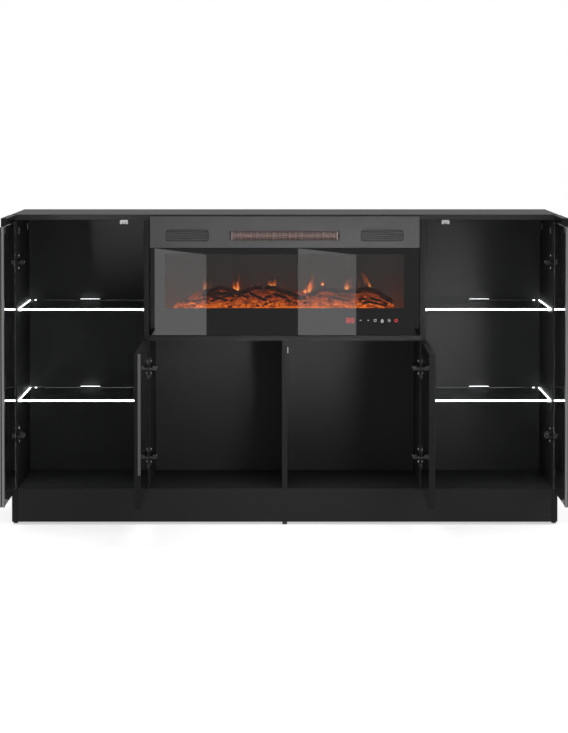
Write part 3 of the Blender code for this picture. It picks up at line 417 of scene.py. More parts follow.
def hardboard(name, face, rear, rear_y):
    """Thin board: dark foil towards the bays and brown pressed fibre behind the limit on Y."""
    finish = Finish(name, face, 0.6, specular=0.12)
    fibre = finish.noise(240.0, 6.0)
    brown = finish.tones(fibre, rear, 0.7, 1.25)
    dark = finish.tones(finish.noise(5.0, 3.0), face, 0.93, 1.07)
    _, y, _ = finish.axes()
    finish.feed("Base Color", finish.mix(finish.math("GREATER_THAN", y, rear_y), dark, brown))
    finish.feed("Roughness", finish.varied(fibre, 0.5, 0.75))
    finish.bump(fibre, 0.08, 0.0004)
    return finish.material


def metal(name, colour, roughness, stretch=UNSTRETCHED, scale=300.0):
    """Bare or plated metal with fine streaks along its rolling direction."""
    finish = Finish(name, colour, roughness, metallic=1.0)
    streak = finish.noise(scale, 5.0, stretch)
    finish.feed("Base Color", finish.tones(streak, colour, 0.82, 1.12))
    finish.feed("Roughness", finish.varied(streak, roughness - 0.08, roughness + 0.1))
    finish.bump(streak, 0.05, 0.0002)
    return finish.material


def moulded(name, colour, roughness, scale=500.0, specular=0.4, relief=0.12):
    """Moulded plastic or powder coat: a fine even grain."""
    finish = Finish(name, colour, roughness, specular=specular)
    grain = finish.noise(scale, 3.0)
    finish.feed("Base Color", finish.tones(finish.noise(30.0, 3.0), colour, 0.88, 1.1))
    finish.feed("Roughness", finish.varied(grain, roughness - 0.07, roughness + 0.07))
    finish.bump(grain, relief, 0.0003)
    return finish.material


def vent_paint(name, colour, near, far, outlet, face_y):
    """Satin paint with painted light on the louvres: |X| from near to far, level with the outlet, behind the
    face.
    """
    margin, louvre_light = 0.005, 2.2
    finish = Finish(name, colour, 0.42, specular=0.35)
    x, y, z = finish.axes()
    louvre = finish.product(finish.inside(finish.size(x), near, far),
                            finish.inside(z, outlet[0].z - margin, outlet[1].z + margin),
                            finish.math("GREATER_THAN", y, face_y))
    grain = finish.noise(700.0, 3.0)
    tone = finish.tones(finish.noise(30.0, 3.0), colour, 0.93, 1.06)
    # Painted light: the louvres take a lighter share of the colour, to lift the shade between them.
    finish.feed("Base Color", finish.mix(louvre, tone, shade(colour, louvre_light)))
    finish.feed("Roughness", finish.varied(grain, 0.36, 0.48))
    finish.bump(grain, 0.08, 0.0003)
    return finish.material


def mesh_wire(name, colour, low_z, high_z):
    """Heater mesh: bare wire, paler in the middle and darker towards its upper and lower edges."""
    stops = ((0.0, 0.35), (0.24, 0.45), (0.36, 1.15), (0.72, 1.1), (0.86, 0.5), (1.0, 0.4))
    finish = Finish(name, colour, 0.5, specular=0.3)
    _, _, z = finish.axes()
    share = finish.span(z, low_z, high_z)
    share = finish.math("ADD", share, finish.varied(finish.noise(120.0), -0.04, 0.04))
    finish.feed("Base Color", finish.ramp(share, [(at, shade(colour, tone)) for at, tone in stops]))
    return finish.material


def clear_finish(name, tint):
    """The start of a glass: light goes through it and takes its tint."""
    finish = Finish(name, tint, 0.02)
    finish.set("Transmission Weight", 1.0)
    finish.set("IOR", 1.5)
    return finish


def lit_glass(name, tint, glow, front_y, side_sign, side_x):
    """Clear shelf glass whose front and outer edges give out the light that the clip feeds into it."""
    finish = clear_finish(name, tint)
    finish.set("Emission Color", opaque(COOL_WHITE))
    x, y, _ = finish.axes()
    front = finish.math("LESS_THAN", y, front_y)
    outer = finish.math("GREATER_THAN", finish.product(x, side_sign), side_x)
    edge = finish.math("MAXIMUM", front, outer)
    flicker = finish.varied(finish.noise(60.0, 2.0), 0.9, 1.1)
    finish.feed("Emission Strength", finish.product(edge, glow, flicker))
    finish.feed("Roughness", finish.varied(finish.noise(18.0, 3.0), 0.0, 0.04))
    return finish.material


def smoked_glass(name, tint):
    """Smoked pane: a deep tint with faint wipe marks in the gloss, and blackened cut edges."""
    edge_black = (0.003, 0.003, 0.003)
    finish = clear_finish(name, tint)
    edge = finish.math("LESS_THAN", finish.size(finish.axes("Normal")[0]), FLAT_FACE)
    tone = finish.tones(finish.noise(4.0, 2.0), tint, 0.94, 1.06)
    wiped = finish.noise(14.0, 4.0, (1.0, 1.0, 0.4))
    finish.feed("Base Color", finish.mix(edge, tone, edge_black))
    finish.feed("Roughness", finish.span(wiped, 0.35, 0.75, 0.0, 0.05))
    return finish.material


def fire_glass(name, colour, low, high, haze):
    """Black-backed glass with a tinted window between two corners of X and Z.

    haze is the share of the black that is left inside the window.
    """
    backed_specular, window_specular = 0.24, 0.225
    finish = Finish(name, colour, 0.0)
    x, _, z = finish.axes()
    window = finish.product(finish.inside(x, low[0], high[0]), finish.inside(z, low[1], high[1]))
    wiped = finish.span(finish.noise(12.0, 3.0), 0.35, 0.75, 0.0, 0.04)
    finish.feed("Alpha", finish.choose(window, 1.0, haze))
    finish.feed("Base Color", finish.tones(finish.noise(8.0, 3.0), colour, 0.8, 1.2))
    finish.feed("Specular IOR Level", finish.choose(window, backed_specular, window_specular))
    finish.feed("Roughness", finish.product(wiped, finish.math("SUBTRACT", 1.0, window)))
    return finish.material


def glow_finish(name, colour, strength, lens=(0.8, 0.8, 0.8)):
    """A small lamp or lit sign: a lens of its own colour that glows a little unevenly."""
    finish = Finish(name, lens, 0.4)
    finish.set("Emission Color", opaque(colour))
    finish.feed("Emission Strength", finish.varied(finish.noise(90.0, 2.0), strength * 0.85, strength * 1.15))
    return finish.material


def ember_finish(name, hot, deep, glow, low_z, high_z):
    """Bed lit from below: hottest at its foot, dark in its cracks and dimmer towards its top."""
    finish = Finish(name, (0.10, 0.04, 0.02), 0.8, specular=0.2)
    _, _, z = finish.axes()
    height = finish.span(z, low_z, high_z)
    cell = finish.cracks(85.0, (0.55, 1.0, 1.2))
    cloud = finish.noise(34.0, 5.0, (0.6, 1.0, 1.0))
    seam = finish.span(cell, 0.0, 0.06, 0.1, 1.0)
    patch = finish.span(cloud, 0.30, 0.52, 0.35, 1.0)
    fade = finish.span(height, 0.1, 1.0, 1.0, 0.2)
    finish.feed("Emission Color", finish.ramp(height, [(0.0, hot), (0.55, deep), (1.0, shade(deep, 0.5))]))
    finish.feed("Emission Strength", finish.product(seam, patch, fade, glow))
    finish.feed("Base Color", finish.ramp(cloud, [(0.35, (0.02, 0.012, 0.01)), (0.65, (0.25, 0.09, 0.04))]))
    finish.bump(cell, 0.5, 0.003)
    return finish.material


def lump_finish(name, hot, deep, glow):
    """Glowing lump: the point attribute warmth, broken by grain and splits, sets its glow and its colour."""
    finish = Finish(name, (0.03, 0.014, 0.010), 0.85, specular=0.1)
    along = (0.4, 1.0, 1.0)
    grain = finish.noise(110.0, 5.0, along)
    split = finish.span(finish.cracks(120.0, along), 0.0, 0.06, 0.15, 1.0)
    broken = finish.product(split, finish.span(grain, 0.28, 0.52, 0.45, 1.0))
    warm = finish.product(finish.attribute("warmth"), broken)
    finish.feed("Emission Color", finish.ramp(warm, [(0.0, shade(deep, 0.7)), (0.3, deep), (0.8, hot)]))
    finish.feed("Emission Strength", finish.product(warm, glow))
    finish.feed("Base Color", finish.ramp(grain, [(0.35, (0.012, 0.008, 0.007)), (0.7, (0.07, 0.03, 0.02))]))
    finish.bump(grain, 0.5, 0.002)
    return finish.material


def bark_finish(name, bark, hot, glow):
    """Charred log: ridged dark bark, glowing where the point attribute warmth is high and the bark whole."""
    stops = ((0.35, 0.5), (0.6, 1.3), (0.8, 2.6))
    finish = Finish(name, bark, 0.85, specular=0.15)
    ridge = finish.noise(70.0, 6.0, (0.35, 1.0, 1.0))
    split = finish.span(finish.cracks(60.0, (0.3, 1.0, 1.0)), 0.0, 0.1, 0.1, 1.0)
    warm = finish.product(finish.attribute("warmth"), split, finish.span(ridge, 0.32, 0.55))
    finish.feed("Base Color", finish.ramp(ridge, [(at, shade(bark, tone)) for at, tone in stops]))
    finish.set("Emission Color", opaque(hot))
    finish.feed("Emission Strength", finish.product(warm, glow))
    finish.bump(ridge, 0.8, 0.003)
    return finish.material


def flame_finish(name, core, tip, glow):
    """Flame: bright at its foot and thin at its rim and tip, from the point attributes rise, rim and full."""
    finish = Finish(name, (0.0, 0.0, 0.0), 1.0, specular=0.0)
    rise, rim, full = (finish.attribute(label) for label in ("rise", "rim", "full"))
    tapered = finish.span(rise, 0.1, 1.0, 1.0, 0.0)
    rounded = finish.span(rim, 0.0, 1.0, 1.0, 0.0)
    streak = finish.span(finish.noise(150.0, 3.0, (1.0, 1.0, 0.3)), 0.35, 0.65, 0.35, 1.0)
    wisp = finish.product(tapered, rounded, full, streak)
    finish.feed("Emission Color", finish.ramp(rise, [(0.0, core), (0.35, tip), (1.0, shade(tip, 0.6))]))
    finish.feed("Emission Strength", finish.product(wisp, glow))
    finish.feed("Alpha", wisp)
    return finish.material


def screen_finish(name, colour, ember, low_z, high_z):
    """Diffusing screen behind the fire: painted light in its own colour, and warm painted ember light fading
    upwards.
    """
    finish = Finish(name, colour, 0.6, specular=0.1)
    _, _, z = finish.axes()
    # Painted light: a warm glow of the embers on the screen, fading upwards.
    haze = finish.span(z, low_z, high_z, 1.0, 0.0)
    cloud = finish.span(finish.noise(16.0, 4.0, (1.0, 1.0, 0.4)), 0.4, 0.7)
    # Painted light: the screen glows in its own colour, in place of the room light that reaches it.
    finish.feed("Emission Color", finish.mix(finish.product(haze, cloud), colour, shade(ember, 0.3)))
    finish.set("Emission Strength", 1.0)
    finish.feed("Base Color", finish.tones(finish.noise(25.0), colour, 0.8, 1.2))
    return finish.material


def paint(material, *names):
    """Give CAD nodes their finish."""
    for name in names:
        NODES[name].data.materials.clear()
        NODES[name].data.materials.append(material)


# Settings

COLOUR = {"size": 3, "subtype": "COLOR", "min": 0.0, "max": 1.0}
CORNER = {"size": 2, "subtype": "XYZ", "unit": "LENGTH"}
GLOW = {"min": 0.0, "max": 50.0}
POWER = {"min": 0.0, "max": 2000.0, "subtype": "POWER", "unit": "POWER"}


class CabinetSettings(bpy.types.PropertyGroup):
    """Colours of the boards, doors and hinges, and sizes of small fittings."""

    board: bpy.props.FloatVectorProperty(name="Board", description="Colour of the carcass foil",
                                         default=(0.020, 0.020, 0.0205), **COLOUR)
    door: bpy.props.FloatVectorProperty(name="Door", description="Colour of the gloss doors",
                                        default=(0.006, 0.006, 0.0065), **COLOUR)
    backing: bpy.props.FloatVectorProperty(name="Back panel", description="Colour of the back panels inside",
                                           default=(0.034, 0.034, 0.034), **COLOUR)
    smoke: bpy.props.FloatVectorProperty(name="Smoked glass", description="Tint of the door panes",
                                         default=(0.52, 0.52, 0.53), **COLOUR)
    nickel: bpy.props.FloatVectorProperty(name="Nickel", description="Colour of the hinges",
                                          default=(0.040, 0.040, 0.041), **COLOUR)
    screw_radius: bpy.props.FloatProperty(name="Screw head", description="Radius of the hinge screw heads",
                                          default=0.0036, min=0.002, max=0.006, unit="LENGTH")
    cap_radius: bpy.props.FloatProperty(name="Cap", description="Radius of the fitting caps on the sides",
                                        default=0.010, min=0.005, max=0.02, unit="LENGTH")


class LightSettings(bpy.types.PropertyGroup):
    """Shelf lights and the fire."""

    shelf_glow: bpy.props.FloatProperty(name="Shelf edge", description="Light given by the shelf edges",
                                        default=5.0, **GLOW)
    clip_glow: bpy.props.FloatProperty(name="Clip", description="Light given by the clips",
                                       default=3.4, **GLOW)
    ember_glow: bpy.props.FloatProperty(name="Embers", description="Light given by the ember bed",
                                        default=5.4, **GLOW)
    flame_glow: bpy.props.FloatProperty(name="Flames", description="Light given by the flames",
                                        default=15.0, **GLOW)
    hot: bpy.props.FloatVectorProperty(name="Hot", description="Colour of the hottest embers",
                                       default=(1.0, 0.20, 0.014), **COLOUR)
    deep: bpy.props.FloatVectorProperty(name="Deep", description="Colour of the cooler embers",
                                        default=(0.80, 0.115, 0.020), **COLOUR)
    window_low: bpy.props.FloatVectorProperty(name="Window low", default=(-0.349, 0.636), **CORNER,
                                              description="Lower corner of the fire window, X and Z")
    window_high: bpy.props.FloatVectorProperty(name="Window high", default=(0.349, 0.794), **CORNER,
                                               description="Upper corner of the fire window, X and Z")


class StudioSettings(bpy.types.PropertyGroup):
    """Camera and light."""

    lens: bpy.props.FloatProperty(name="Lens", description="Focal length", default=125.31, min=20, max=300,
                                  unit="CAMERA")
    distance: bpy.props.FloatProperty(name="Distance", description="Camera to the carcass front",
                                      default=7.4503, min=2, max=20, unit="LENGTH")
    height: bpy.props.FloatProperty(name="Height", description="Camera above the floor", default=1.226,
                                    min=0, max=4, unit="LENGTH")
    sideways: bpy.props.FloatProperty(name="Sideways", description="Camera off the middle", default=-0.0021,
                                      min=-2, max=2, unit="LENGTH")
    tilt: bpy.props.FloatProperty(name="Tilt", description="Downward tilt of the camera",
                                  default=math.radians(1.7274), min=-0.5, max=0.5, subtype="ANGLE")
    shift: bpy.props.FloatProperty(name="Shift", description="Vertical lens shift", default=-0.25,
                                   min=-0.5, max=0.5)
    key_power: bpy.props.FloatProperty(name="Key light", description="Power of the overhead light",
                                       default=60.0, **POWER)
    side_power: bpy.props.FloatProperty(name="Side light", default=45.0, **POWER,
                                        description="Power of the light from the front right")
    beam_power: bpy.props.FloatProperty(name="Beams", description="Power of the narrow beams into the bays",
                                        default=1.7, **POWER)
    ambient: bpy.props.FloatProperty(name="Ambient", description="Level of the room light", default=0.5,
                                     min=0, max=2)
    card_glow: bpy.props.FloatProperty(name="Cards", default=5.4, **GLOW,
                                       description="Light of the two panels mirrored in the fire glass")


# Operators


class CabinetBoards(bpy.types.Operator):
    """Finish the carcass boards, plinth and back panels"""

    bl_idname = "sideboard.boards"
    bl_label = "Boards"

    def execute(self, context):
        look = context.scene.sideboard_cabinet
        level, upright = (0.6, 8.0, 8.0), (8.0, 8.0, 0.6)
        skin_depth, fibre_depth, fibre = 0.0001, 0.0005, (0.16, 0.10, 0.06)
        # Painted shade: the top and the plinth take darker copies of the board colour.
        paint(board_foil("top_foil", shade(look.board, 0.8), level, 0.66, 0.24), "top_panel")
        paint(board_foil("shelf_foil", look.board, level, edge_shade=0.72), "bottom_panel", "fireplace_shelf")
        paint(board_foil("plinth_foil", shade(look.board, 0.5), level, specular=0.18),
              "plinth_front", "plinth_back")
        paint(board_foil("divider_foil", look.board, upright, edge_shade=0.5), "centre_divider")
        for name, sign in SIDES:
            paint(board_foil(f"side_foil_{name}", look.board, upright, edge_shade=0.4,
                             pins=(-sign, skin_depth - SIDE_INNER)), f"side_panel_{name}")
            paint(board_foil(f"partition_foil_{name}", look.board, upright, edge_shade=0.42,
                             pins=(sign, skin_depth + PARTITION_OUTER)), f"partition_{name}")
        rear_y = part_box("back_panel_centre")[1].y - fibre_depth
        paint(hardboard("back_board", look.backing, fibre, rear_y),
              "back_panel_left", "back_panel_right", "back_panel_centre")
        return {"FINISHED"}


class CabinetDoors(bpy.types.Operator):
    """Finish the doors, their panes and edge profiles, and add the strike plates"""

    bl_idname = "sideboard.doors"
    bl_label = "Doors"

    def execute(self, context):
        look = context.scene.sideboard_cabinet
        paint(gloss_front("door_gloss", look.door, 0.06, 0.55),
              *(f"door_panel_{place}_{name}" for place in DOOR_PLACES for name, _ in SIDES))
        paint(smoked_glass("smoked_pane", look.smoke), *(f"door_glass_outer_{name}" for name, _ in SIDES))
        anodised = metal("anodised_strip", (0.075, 0.075, 0.077), 0.4, (6.0, 6.0, 0.3))
        paint(anodised, "grip_strip")
        groove_far, groove_near, groove_skin = 0.0081, 0.005, 0.0004
        low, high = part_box("door_profile_outer_right")
        profile = grooved_profile("anodised_profile", (0.17, 0.17, 0.172), high.x - groove_far,
                                  high.x - groove_near, low.y + groove_skin)
        paint(profile, *(f"door_profile_outer_{name}" for name, _ in SIDES))
        self.strike_plates(anodised)
        return {"FINISHED"}

    def strike_plates(self, anodised):
        """A thin plate on each open pane, as far from the hinge line as the catch of the shut door."""
        hinge_x, pane_from_hinge = 0.800, 0.062
        half_wide, thick, top, foot, soften = 0.008, 0.0007, 0.001, 0.018, 0.0002
        for name, sign in SIDES:
            low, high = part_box(f"door_glass_outer_{name}")
            face = min(abs(low.x), abs(high.x))
            catch_x = sum(abs(corner.x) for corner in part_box(f"door_catch_{name}")) / 2
            y = high.y + pane_from_hinge - (hinge_x - catch_x)
            near, far = sorted((sign * face, sign * (face - thick)))
            plate = pillow((near, y - half_wide, high.z - foot), (far, y + half_wide, high.z - top), soften)
            add_piece(f"strike_plate_{name}", skin(plate), anodised, f"outer_door_{name}")


def screw_head(radius):
    """Pan head with a cross recess: height = dome(r), less a depth where |x| or |y| is inside the slot.

    Radii, heights and the slot's half width, reach and depth are shares of the head's radius.
    """
    slot_half, slot_reach, slot_depth = 0.13, 0.6, 0.3
    angle = round_angles(24)
    share = np.array([1.0, 1.0, 0.95, 0.75, 0.52, 0.4, 0.25, 0.1])[:, None]
    dome = np.array([-0.12, 0.18, 0.34, 0.46, 0.52, 0.54, 0.56, 0.56])[:, None]
    x, y = share * np.cos(angle), share * np.sin(angle)
    slot = ((np.abs(x) < slot_half) | (np.abs(y) < slot_half)) & (share < slot_reach)
    return skin(radius * np.stack([x, y, dome - slot_depth * slot], -1))


class HingeFittings(bpy.types.Operator):
    """Finish the hinges and add their screws"""

    bl_idname = "sideboard.hinges"
    bl_label = "Hinges"

    def execute(self, context):
        look = context.scene.sideboard_cabinet
        nickel = metal("nickel_plate", look.nickel, 0.28, scale=120.0)
        zinc = metal("screw_zinc", (0.62, 0.62, 0.61), 0.25, scale=150.0)
        dark_zinc = metal("cup_screw_zinc", (0.13, 0.13, 0.13), 0.3, scale=150.0)
        head, small = screw_head(look.screw_radius), screw_head(look.screw_radius * 0.8)
        plate_screws = []
        for place in DOOR_PLACES:
            for name, sign in SIDES:
                cup_screws = []
                for level in LEVELS:
                    arm, cup = (f"hinge_{half}_{place}_{name}_{level}" for half in ("arm", "cup"))
                    paint(nickel, arm, cup)
                    plate_screws += self.arm_screws(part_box(arm), sign)
                    cup_screws += self.cup_screws(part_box(cup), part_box(arm), sign)
                add_piece(f"cup_screws_{place}_{name}", copies(small, *zip(*cup_screws)), dark_zinc,
                          f"{place}_door_{name}")
        add_piece("plate_screws", copies(head, *zip(*plate_screws)), zinc, "cabinet")
        return {"FINISHED"}

    def arm_screws(self, arm, sign):
        """Turns and places of four screws: two in the plate on the wall and two along the sloping arm."""
        knuckle_past_wall = 0.011
        plate_thick, plate_depth, plate_rise = 0.0028, 0.037, 0.018
        arm_depths, arm_start, arm_proud, arm_sunk = (0.030, 0.050), 0.0225, 0.0205, 0.0003
        arm_fall, arm_run = 0.009, 0.0415
        low, high = arm
        wall = max(abs(low.x), abs(high.x)) - knuckle_past_wall
        z = (low.z + high.z) / 2
        screws = [(facing(-sign), (sign * (wall - plate_thick), FRONT_Y + plate_depth, z + rise))
                  for rise in (-plate_rise, plate_rise)]
        for depth in arm_depths:
            proud = arm_proud - (depth - arm_start) * arm_fall / arm_run
            screws.append((facing(-sign, math.atan2(arm_fall, arm_run)),
                           (sign * (wall - arm_sunk - proud), FRONT_Y + depth, z)))
        return screws

    def cup_screws(self, cup, arm, sign):
        """Turns and places of the two screws of a cup, above and below the middle of its arm."""
        screw_rise = 0.0225
        low, high = cup
        face = min(abs(low.x), abs(high.x))
        z = (arm[0].z + arm[1].z) / 2
        return [(facing(-sign), (sign * face, (low.y + high.y) / 2, z + rise))
                for rise in (-screw_rise, screw_rise)]


class CabinetFittings(bpy.types.Operator):
    """Finish the catches and add the fitting caps, the centre catch and the nails of the back"""

    bl_idname = "sideboard.fittings"
    bl_label = "Catches, caps and nails"

    def execute(self, context):
        grey = moulded("pale_plastic", (0.52, 0.52, 0.52), 0.45)
        paint(grey, "door_catch_left", "door_catch_right")
        self.fitting_caps(grey, context.scene.sideboard_cabinet.cap_radius)
        self.centre_catch()
        self.nail_backs()
        return {"FINISHED"}

    def fitting_caps(self, grey, radius):
        """Two domed caps on each side's inner face, turned from a profile of radius shares and heights."""
        cap_z, cap_depths = 0.860, (0.070, 0.322)
        profile = ((0.2, -0.0004), (1.0, -0.0004), (1.0, 0.0005), (0.92, 0.0009), (0.6, 0.0012),
                   (0.05, 0.0013))
        cap = skin(turned([(radius * share, height) for share, height in profile], 28))
        turns = [facing(-sign) for _, sign in SIDES for _ in cap_depths]
        places = [(sign * SIDE_INNER, FRONT_Y + depth, cap_z) for _, sign in SIDES for depth in cap_depths]
        add_piece("fitting_caps", copies(cap, turns, places), grey, "cabinet")

    def centre_catch(self):
        """A small block near the top of the centre divider, on its right face."""
        white = moulded("white_plastic", (0.75, 0.75, 0.74), 0.4)
        foot, top, front, rear, sunk, proud, soften = 0.504, 0.519, 0.001, 0.020, 0.0001, 0.0022, 0.0006
        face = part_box("centre_divider")[1].x
        catch = pillow((face - sunk, FRONT_Y + front, foot), (face + proud, FRONT_Y + rear, top), soften)
        add_piece("centre_catch", skin(catch), white, "cabinet")

    def nail_backs(self):
        """Nail heads 10 mm inside the edges of each back panel: rows at top and bottom, columns between."""
        steel = metal("nail_steel", (0.45, 0.45, 0.45), 0.4, scale=90.0)
        margin, few, many = 0.010, 4, 7
        head = skin(turned([(0.0006, -0.0004), (0.0024, -0.0004), (0.0022, 0.0003), (0.0012, 0.0006),
                            (0.0002, 0.0007)], 10))
        backwards = ((1.0, 0.0, 0.0), (0.0, 0.0, 1.0), (0.0, -1.0, 0.0))
        places = []
        for panel, across, upwards in (("left", few, many), ("right", few, many), ("centre", many, few)):
            low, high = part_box(f"back_panel_{panel}")
            x = np.linspace(low.x + margin, high.x - margin, across)
            z = np.linspace(low.z + margin, high.z - margin, upwards)
            places += [(along, high.y, level) for level in (z[0], z[-1]) for along in x]
            places += [(edge, high.y, level) for edge in (x[0], x[-1]) for level in z[1:-1]]
        add_piece("back_nails", copies(head, backwards, places), steel, "cabinet")


class ShelfLights(bpy.types.Operator):
    """Finish the glass shelves and their clips, and add the lamps in the clips"""

    bl_idname = "sideboard.shelf_lights"
    bl_label = "Shelves and lights"

    def execute(self, context):
        look = context.scene.sideboard_light
        tint, front_depth, side_depth = (0.86, 0.93, 0.91), 0.0012, 0.0035
        plastic = moulded("clip_plastic", (0.02, 0.02, 0.021), 0.45)
        lamp = glow_finish("clip_lamp", COOL_WHITE, look.clip_glow)
        lamps = []
        for name, sign in SIDES:
            for level in LEVELS:
                shelf, clip = f"glass_shelf_{name}_{level}", f"led_clip_{name}_{level}"
                low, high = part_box(shelf)
                outer = max(abs(low.x), abs(high.x))
                paint(lit_glass(f"lit_{shelf}", tint, look.shelf_glow, low.y + front_depth, sign,
                                outer - side_depth), shelf)
                paint(plastic, clip)
                lamps += [self.ridge(*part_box(clip)), self.button(high, sign)]
        add_piece("clip_lamps", joined(lamps), lamp, "cabinet")
        return {"FINISHED"}

    def ridge(self, low, high):
        """Lamp along the top of a clip: a low elliptical ridge whose ends taper as sin(a)^0.3."""
        rows, end_gap, setback, half_rise, half_wide, end_angle = 12, 0.001, 0.0099, 0.0006, 0.005, 0.35
        x = np.linspace(low.x + end_gap, high.x - end_gap, rows)
        line = np.stack([x, np.full(rows, low.y + setback), np.full(rows, high.z)], -1)
        taper = np.sin(np.linspace(end_angle, np.pi - end_angle, rows))[:, None] ** 0.3
        angle = round_angles(16)
        return skin(swept(line, half_rise * taper * np.cos(angle), half_wide * taper * np.sin(angle)))

    def button(self, shelf_high, sign):
        """A small round lamp on the rear outer corner of a shelf."""
        button_x, from_rear = 0.7645, 0.006
        profile = ((0.0010, 0.0), (0.0036, 0.0002), (0.0034, 0.0008), (0.0024, 0.0013), (0.0004, 0.0015))
        place = (sign * button_x, shelf_high.y - from_rear, shelf_high.z)
        return copies(skin(turned(profile, 18)), np.eye(3), [place])


class InsertFront(bpy.types.Operator):
    """Finish the vent trim, grille and fire glass, and add the brackets, the mesh and the touch display"""

    bl_idname = "sideboard.insert_front"
    bl_label = "Fireplace front"

    def execute(self, context):
        light = context.scene.sideboard_light
        louvre_near, louvre_far, paint_depth, haze = 0.217, 0.353, 0.0003, 0.60
        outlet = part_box("outlet_grille")
        trim_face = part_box("vent_trim")[0].y
        paint(vent_paint("trim_paint", (0.047, 0.047, 0.048), louvre_near, louvre_far, outlet,
                         trim_face + paint_depth), "vent_trim")
        paint(moulded("grille_plate", (0.042, 0.024, 0.021), 0.5, 300.0, 0.3), "outlet_grille")
        paint(fire_glass("fire_pane", (0.0010, 0.0010, 0.0010), light.window_low, light.window_high, haze),
              "front_glass")
        self.add_brackets(*outlet, trim_face)
        self.add_mesh(*outlet, trim_face)
        self.add_display()
        return {"FINISHED"}

    def add_brackets(self, low, high, trim_face):
        """Two thin uprights that hold the ends of the mesh."""
        bright = metal("bracket_steel", (0.36, 0.35, 0.34), 0.4, (4.0, 4.0, 0.5))
        from_end, half_wide, short, play, soften = 0.0065, 0.0012, 0.001, 0.0002, 0.0004
        brackets = [skin(pillow((x - half_wide, trim_face + play, low.z + short),
                                (x + half_wide, low.y - play, high.z - short), soften))
                    for x in (low.x + from_end, high.x - from_end)]
        add_piece("grille_brackets", joined(brackets), bright, "cabinet")

    def add_mesh(self, low, high, trim_face):
        """Wire mesh in front of the grille: upright wires every 5.8 mm behind five level wires."""
        wire = mesh_wire("mesh_wire", (0.22, 0.155, 0.14), low.z, high.z)
        pitch, first_gap, last_gap, level_gap, end_gap = 0.0058, 0.0105, 0.009, 0.003, 0.0005
        upright_radius, level_radius, upright_back, level_front = 0.0009, 0.0008, 0.0004, 0.0003
        levels, rows, sides = 5, 4, 6
        y = (trim_face + low.y) / 2
        x = np.arange(low.x + first_gap, high.x - last_gap, pitch)
        z = np.linspace(low.z + level_gap, high.z - level_gap, levels)
        upright = np.linspace((0.0, 0.0, low.z + end_gap), (0.0, 0.0, high.z - end_gap), rows)
        level = np.linspace((x[0], 0.0, 0.0), (x[-1], 0.0, 0.0), rows)
        uprights = copies(skin(round_tube(upright, upright_radius, sides)), np.eye(3),
                          [(along, y + upright_back, 0.0) for along in x])
        level_wires = copies(skin(round_tube(level, level_radius, sides)), np.eye(3),
                             [(0.0, y - level_front, rise) for rise in z])
        add_piece("grille_mesh", joined([uprights, level_wires]), wire, "cabinet")

    def stroke(self, points, count=16, radius=0.00036):
        """A thin bead on the glass: straight between two points of X and Z, or smooth through more."""
        straight_count, sides, proud = 6, 8, 0.00005
        path = curve_through(points, count) if len(points) > 2 else np.linspace(*points, straight_count)
        line = np.stack([path[:, 0], np.full(len(path), GLASS_FACE - proud), path[:, 1]], -1)
        return skin(round_tube(line, radius, sides))

    def add_display(self):
        """Two digits and a power sign in red, and five kinds of pale touch signs, all beads on one level."""
        level, digit_centres, power_x = 0.600, (0.1852, 0.1982), 0.326
        red = glow_finish("display_red", (1.0, 0.08, 0.08), 1.7, (0.2, 0.02, 0.02))
        digits = [bead for centre in digit_centres for bead in self.digit(centre, level)]
        add_piece("display_digits", joined(digits + self.power_sign(power_x, level)), red, "cabinet")
        pale = glow_finish("display_white", (0.8, 0.85, 0.9), 0.55, (0.5, 0.5, 0.5))
        add_piece("display_signs", joined(self.touch_signs(level)), pale, "cabinet")

    def digit(self, x, z):
        """All seven bars of a digit: three level ones, then two on each side."""
        wide, tall, radius = 0.0042, 0.0066, 0.0004
        bar, bar_top, bar_foot = 0.75 * wide, 0.85 * tall, 0.15 * tall
        beads = [self.stroke([(x - bar, z + rise), (x + bar, z + rise)], radius=radius)
                 for rise in (tall, 0.0, -tall)]
        for edge in (x - wide, x + wide):
            beads.append(self.stroke([(edge, z + bar_top), (edge, z + bar_foot)], radius=radius))
            beads.append(self.stroke([(edge, z - bar_foot), (edge, z - bar_top)], radius=radius))
        return beads

    def power_sign(self, x, z):
        """An open ring, 300 degrees of a circle, with an upright stroke in its gap."""
        ring_radius, foot, top = 0.0042, 0.0005, 0.005
        angle = np.linspace(math.radians(120), math.radians(420), 22)
        ring = np.stack([x + ring_radius * np.cos(angle), z + ring_radius * np.sin(angle)], -1)
        return [self.stroke(ring, 40), self.stroke([(x, z + foot), (x, z + top)])]

    def touch_signs(self, z):
        """Arrows up and down, a square, a drop (sin a (1 + cos a / 2), -cos a) and three warm-air waves."""
        low, high, arrow_half = z - 0.0015, z + 0.0020, 0.0028
        arrows = ((0.222, low, high), (0.244, high, low))
        square_x, square_half = 0.2645, 0.003
        drop_x, drop_wide, drop_tall = 0.285, 0.0034 / 1.3, 0.0042
        waves_x = (0.3030, 0.3055, 0.3080)
        wave_line = ((0.0, -0.0035), (0.0008, -0.0015), (-0.0008, 0.0012), (0.0, 0.0035))
        beads = []
        for x, foot, peak in arrows:
            beads.append(self.stroke([(x - arrow_half, foot), (x, peak)]))
            beads.append(self.stroke([(x, peak), (x + arrow_half, foot)]))
        corners = [(square_x + square_half * across, z + square_half * up)
                   for across, up in ((-1, -1), (1, -1), (1, 1), (-1, 1), (-1, -1))]
        beads += [self.stroke(side) for side in zip(corners[:-1], corners[1:])]
        turn = np.linspace(0, 2 * np.pi, 25)
        drop = np.stack([drop_x + drop_wide * np.sin(turn) * (1 + 0.5 * np.cos(turn)),
                         low - drop_tall * np.cos(turn)], -1)
        beads.append(self.stroke(drop, 40, 0.0006))
        beads += [self.stroke([(x + across, z + rise) for across, rise in wave_line], 14, 0.0003)
                  for x in waves_x]
        return beads


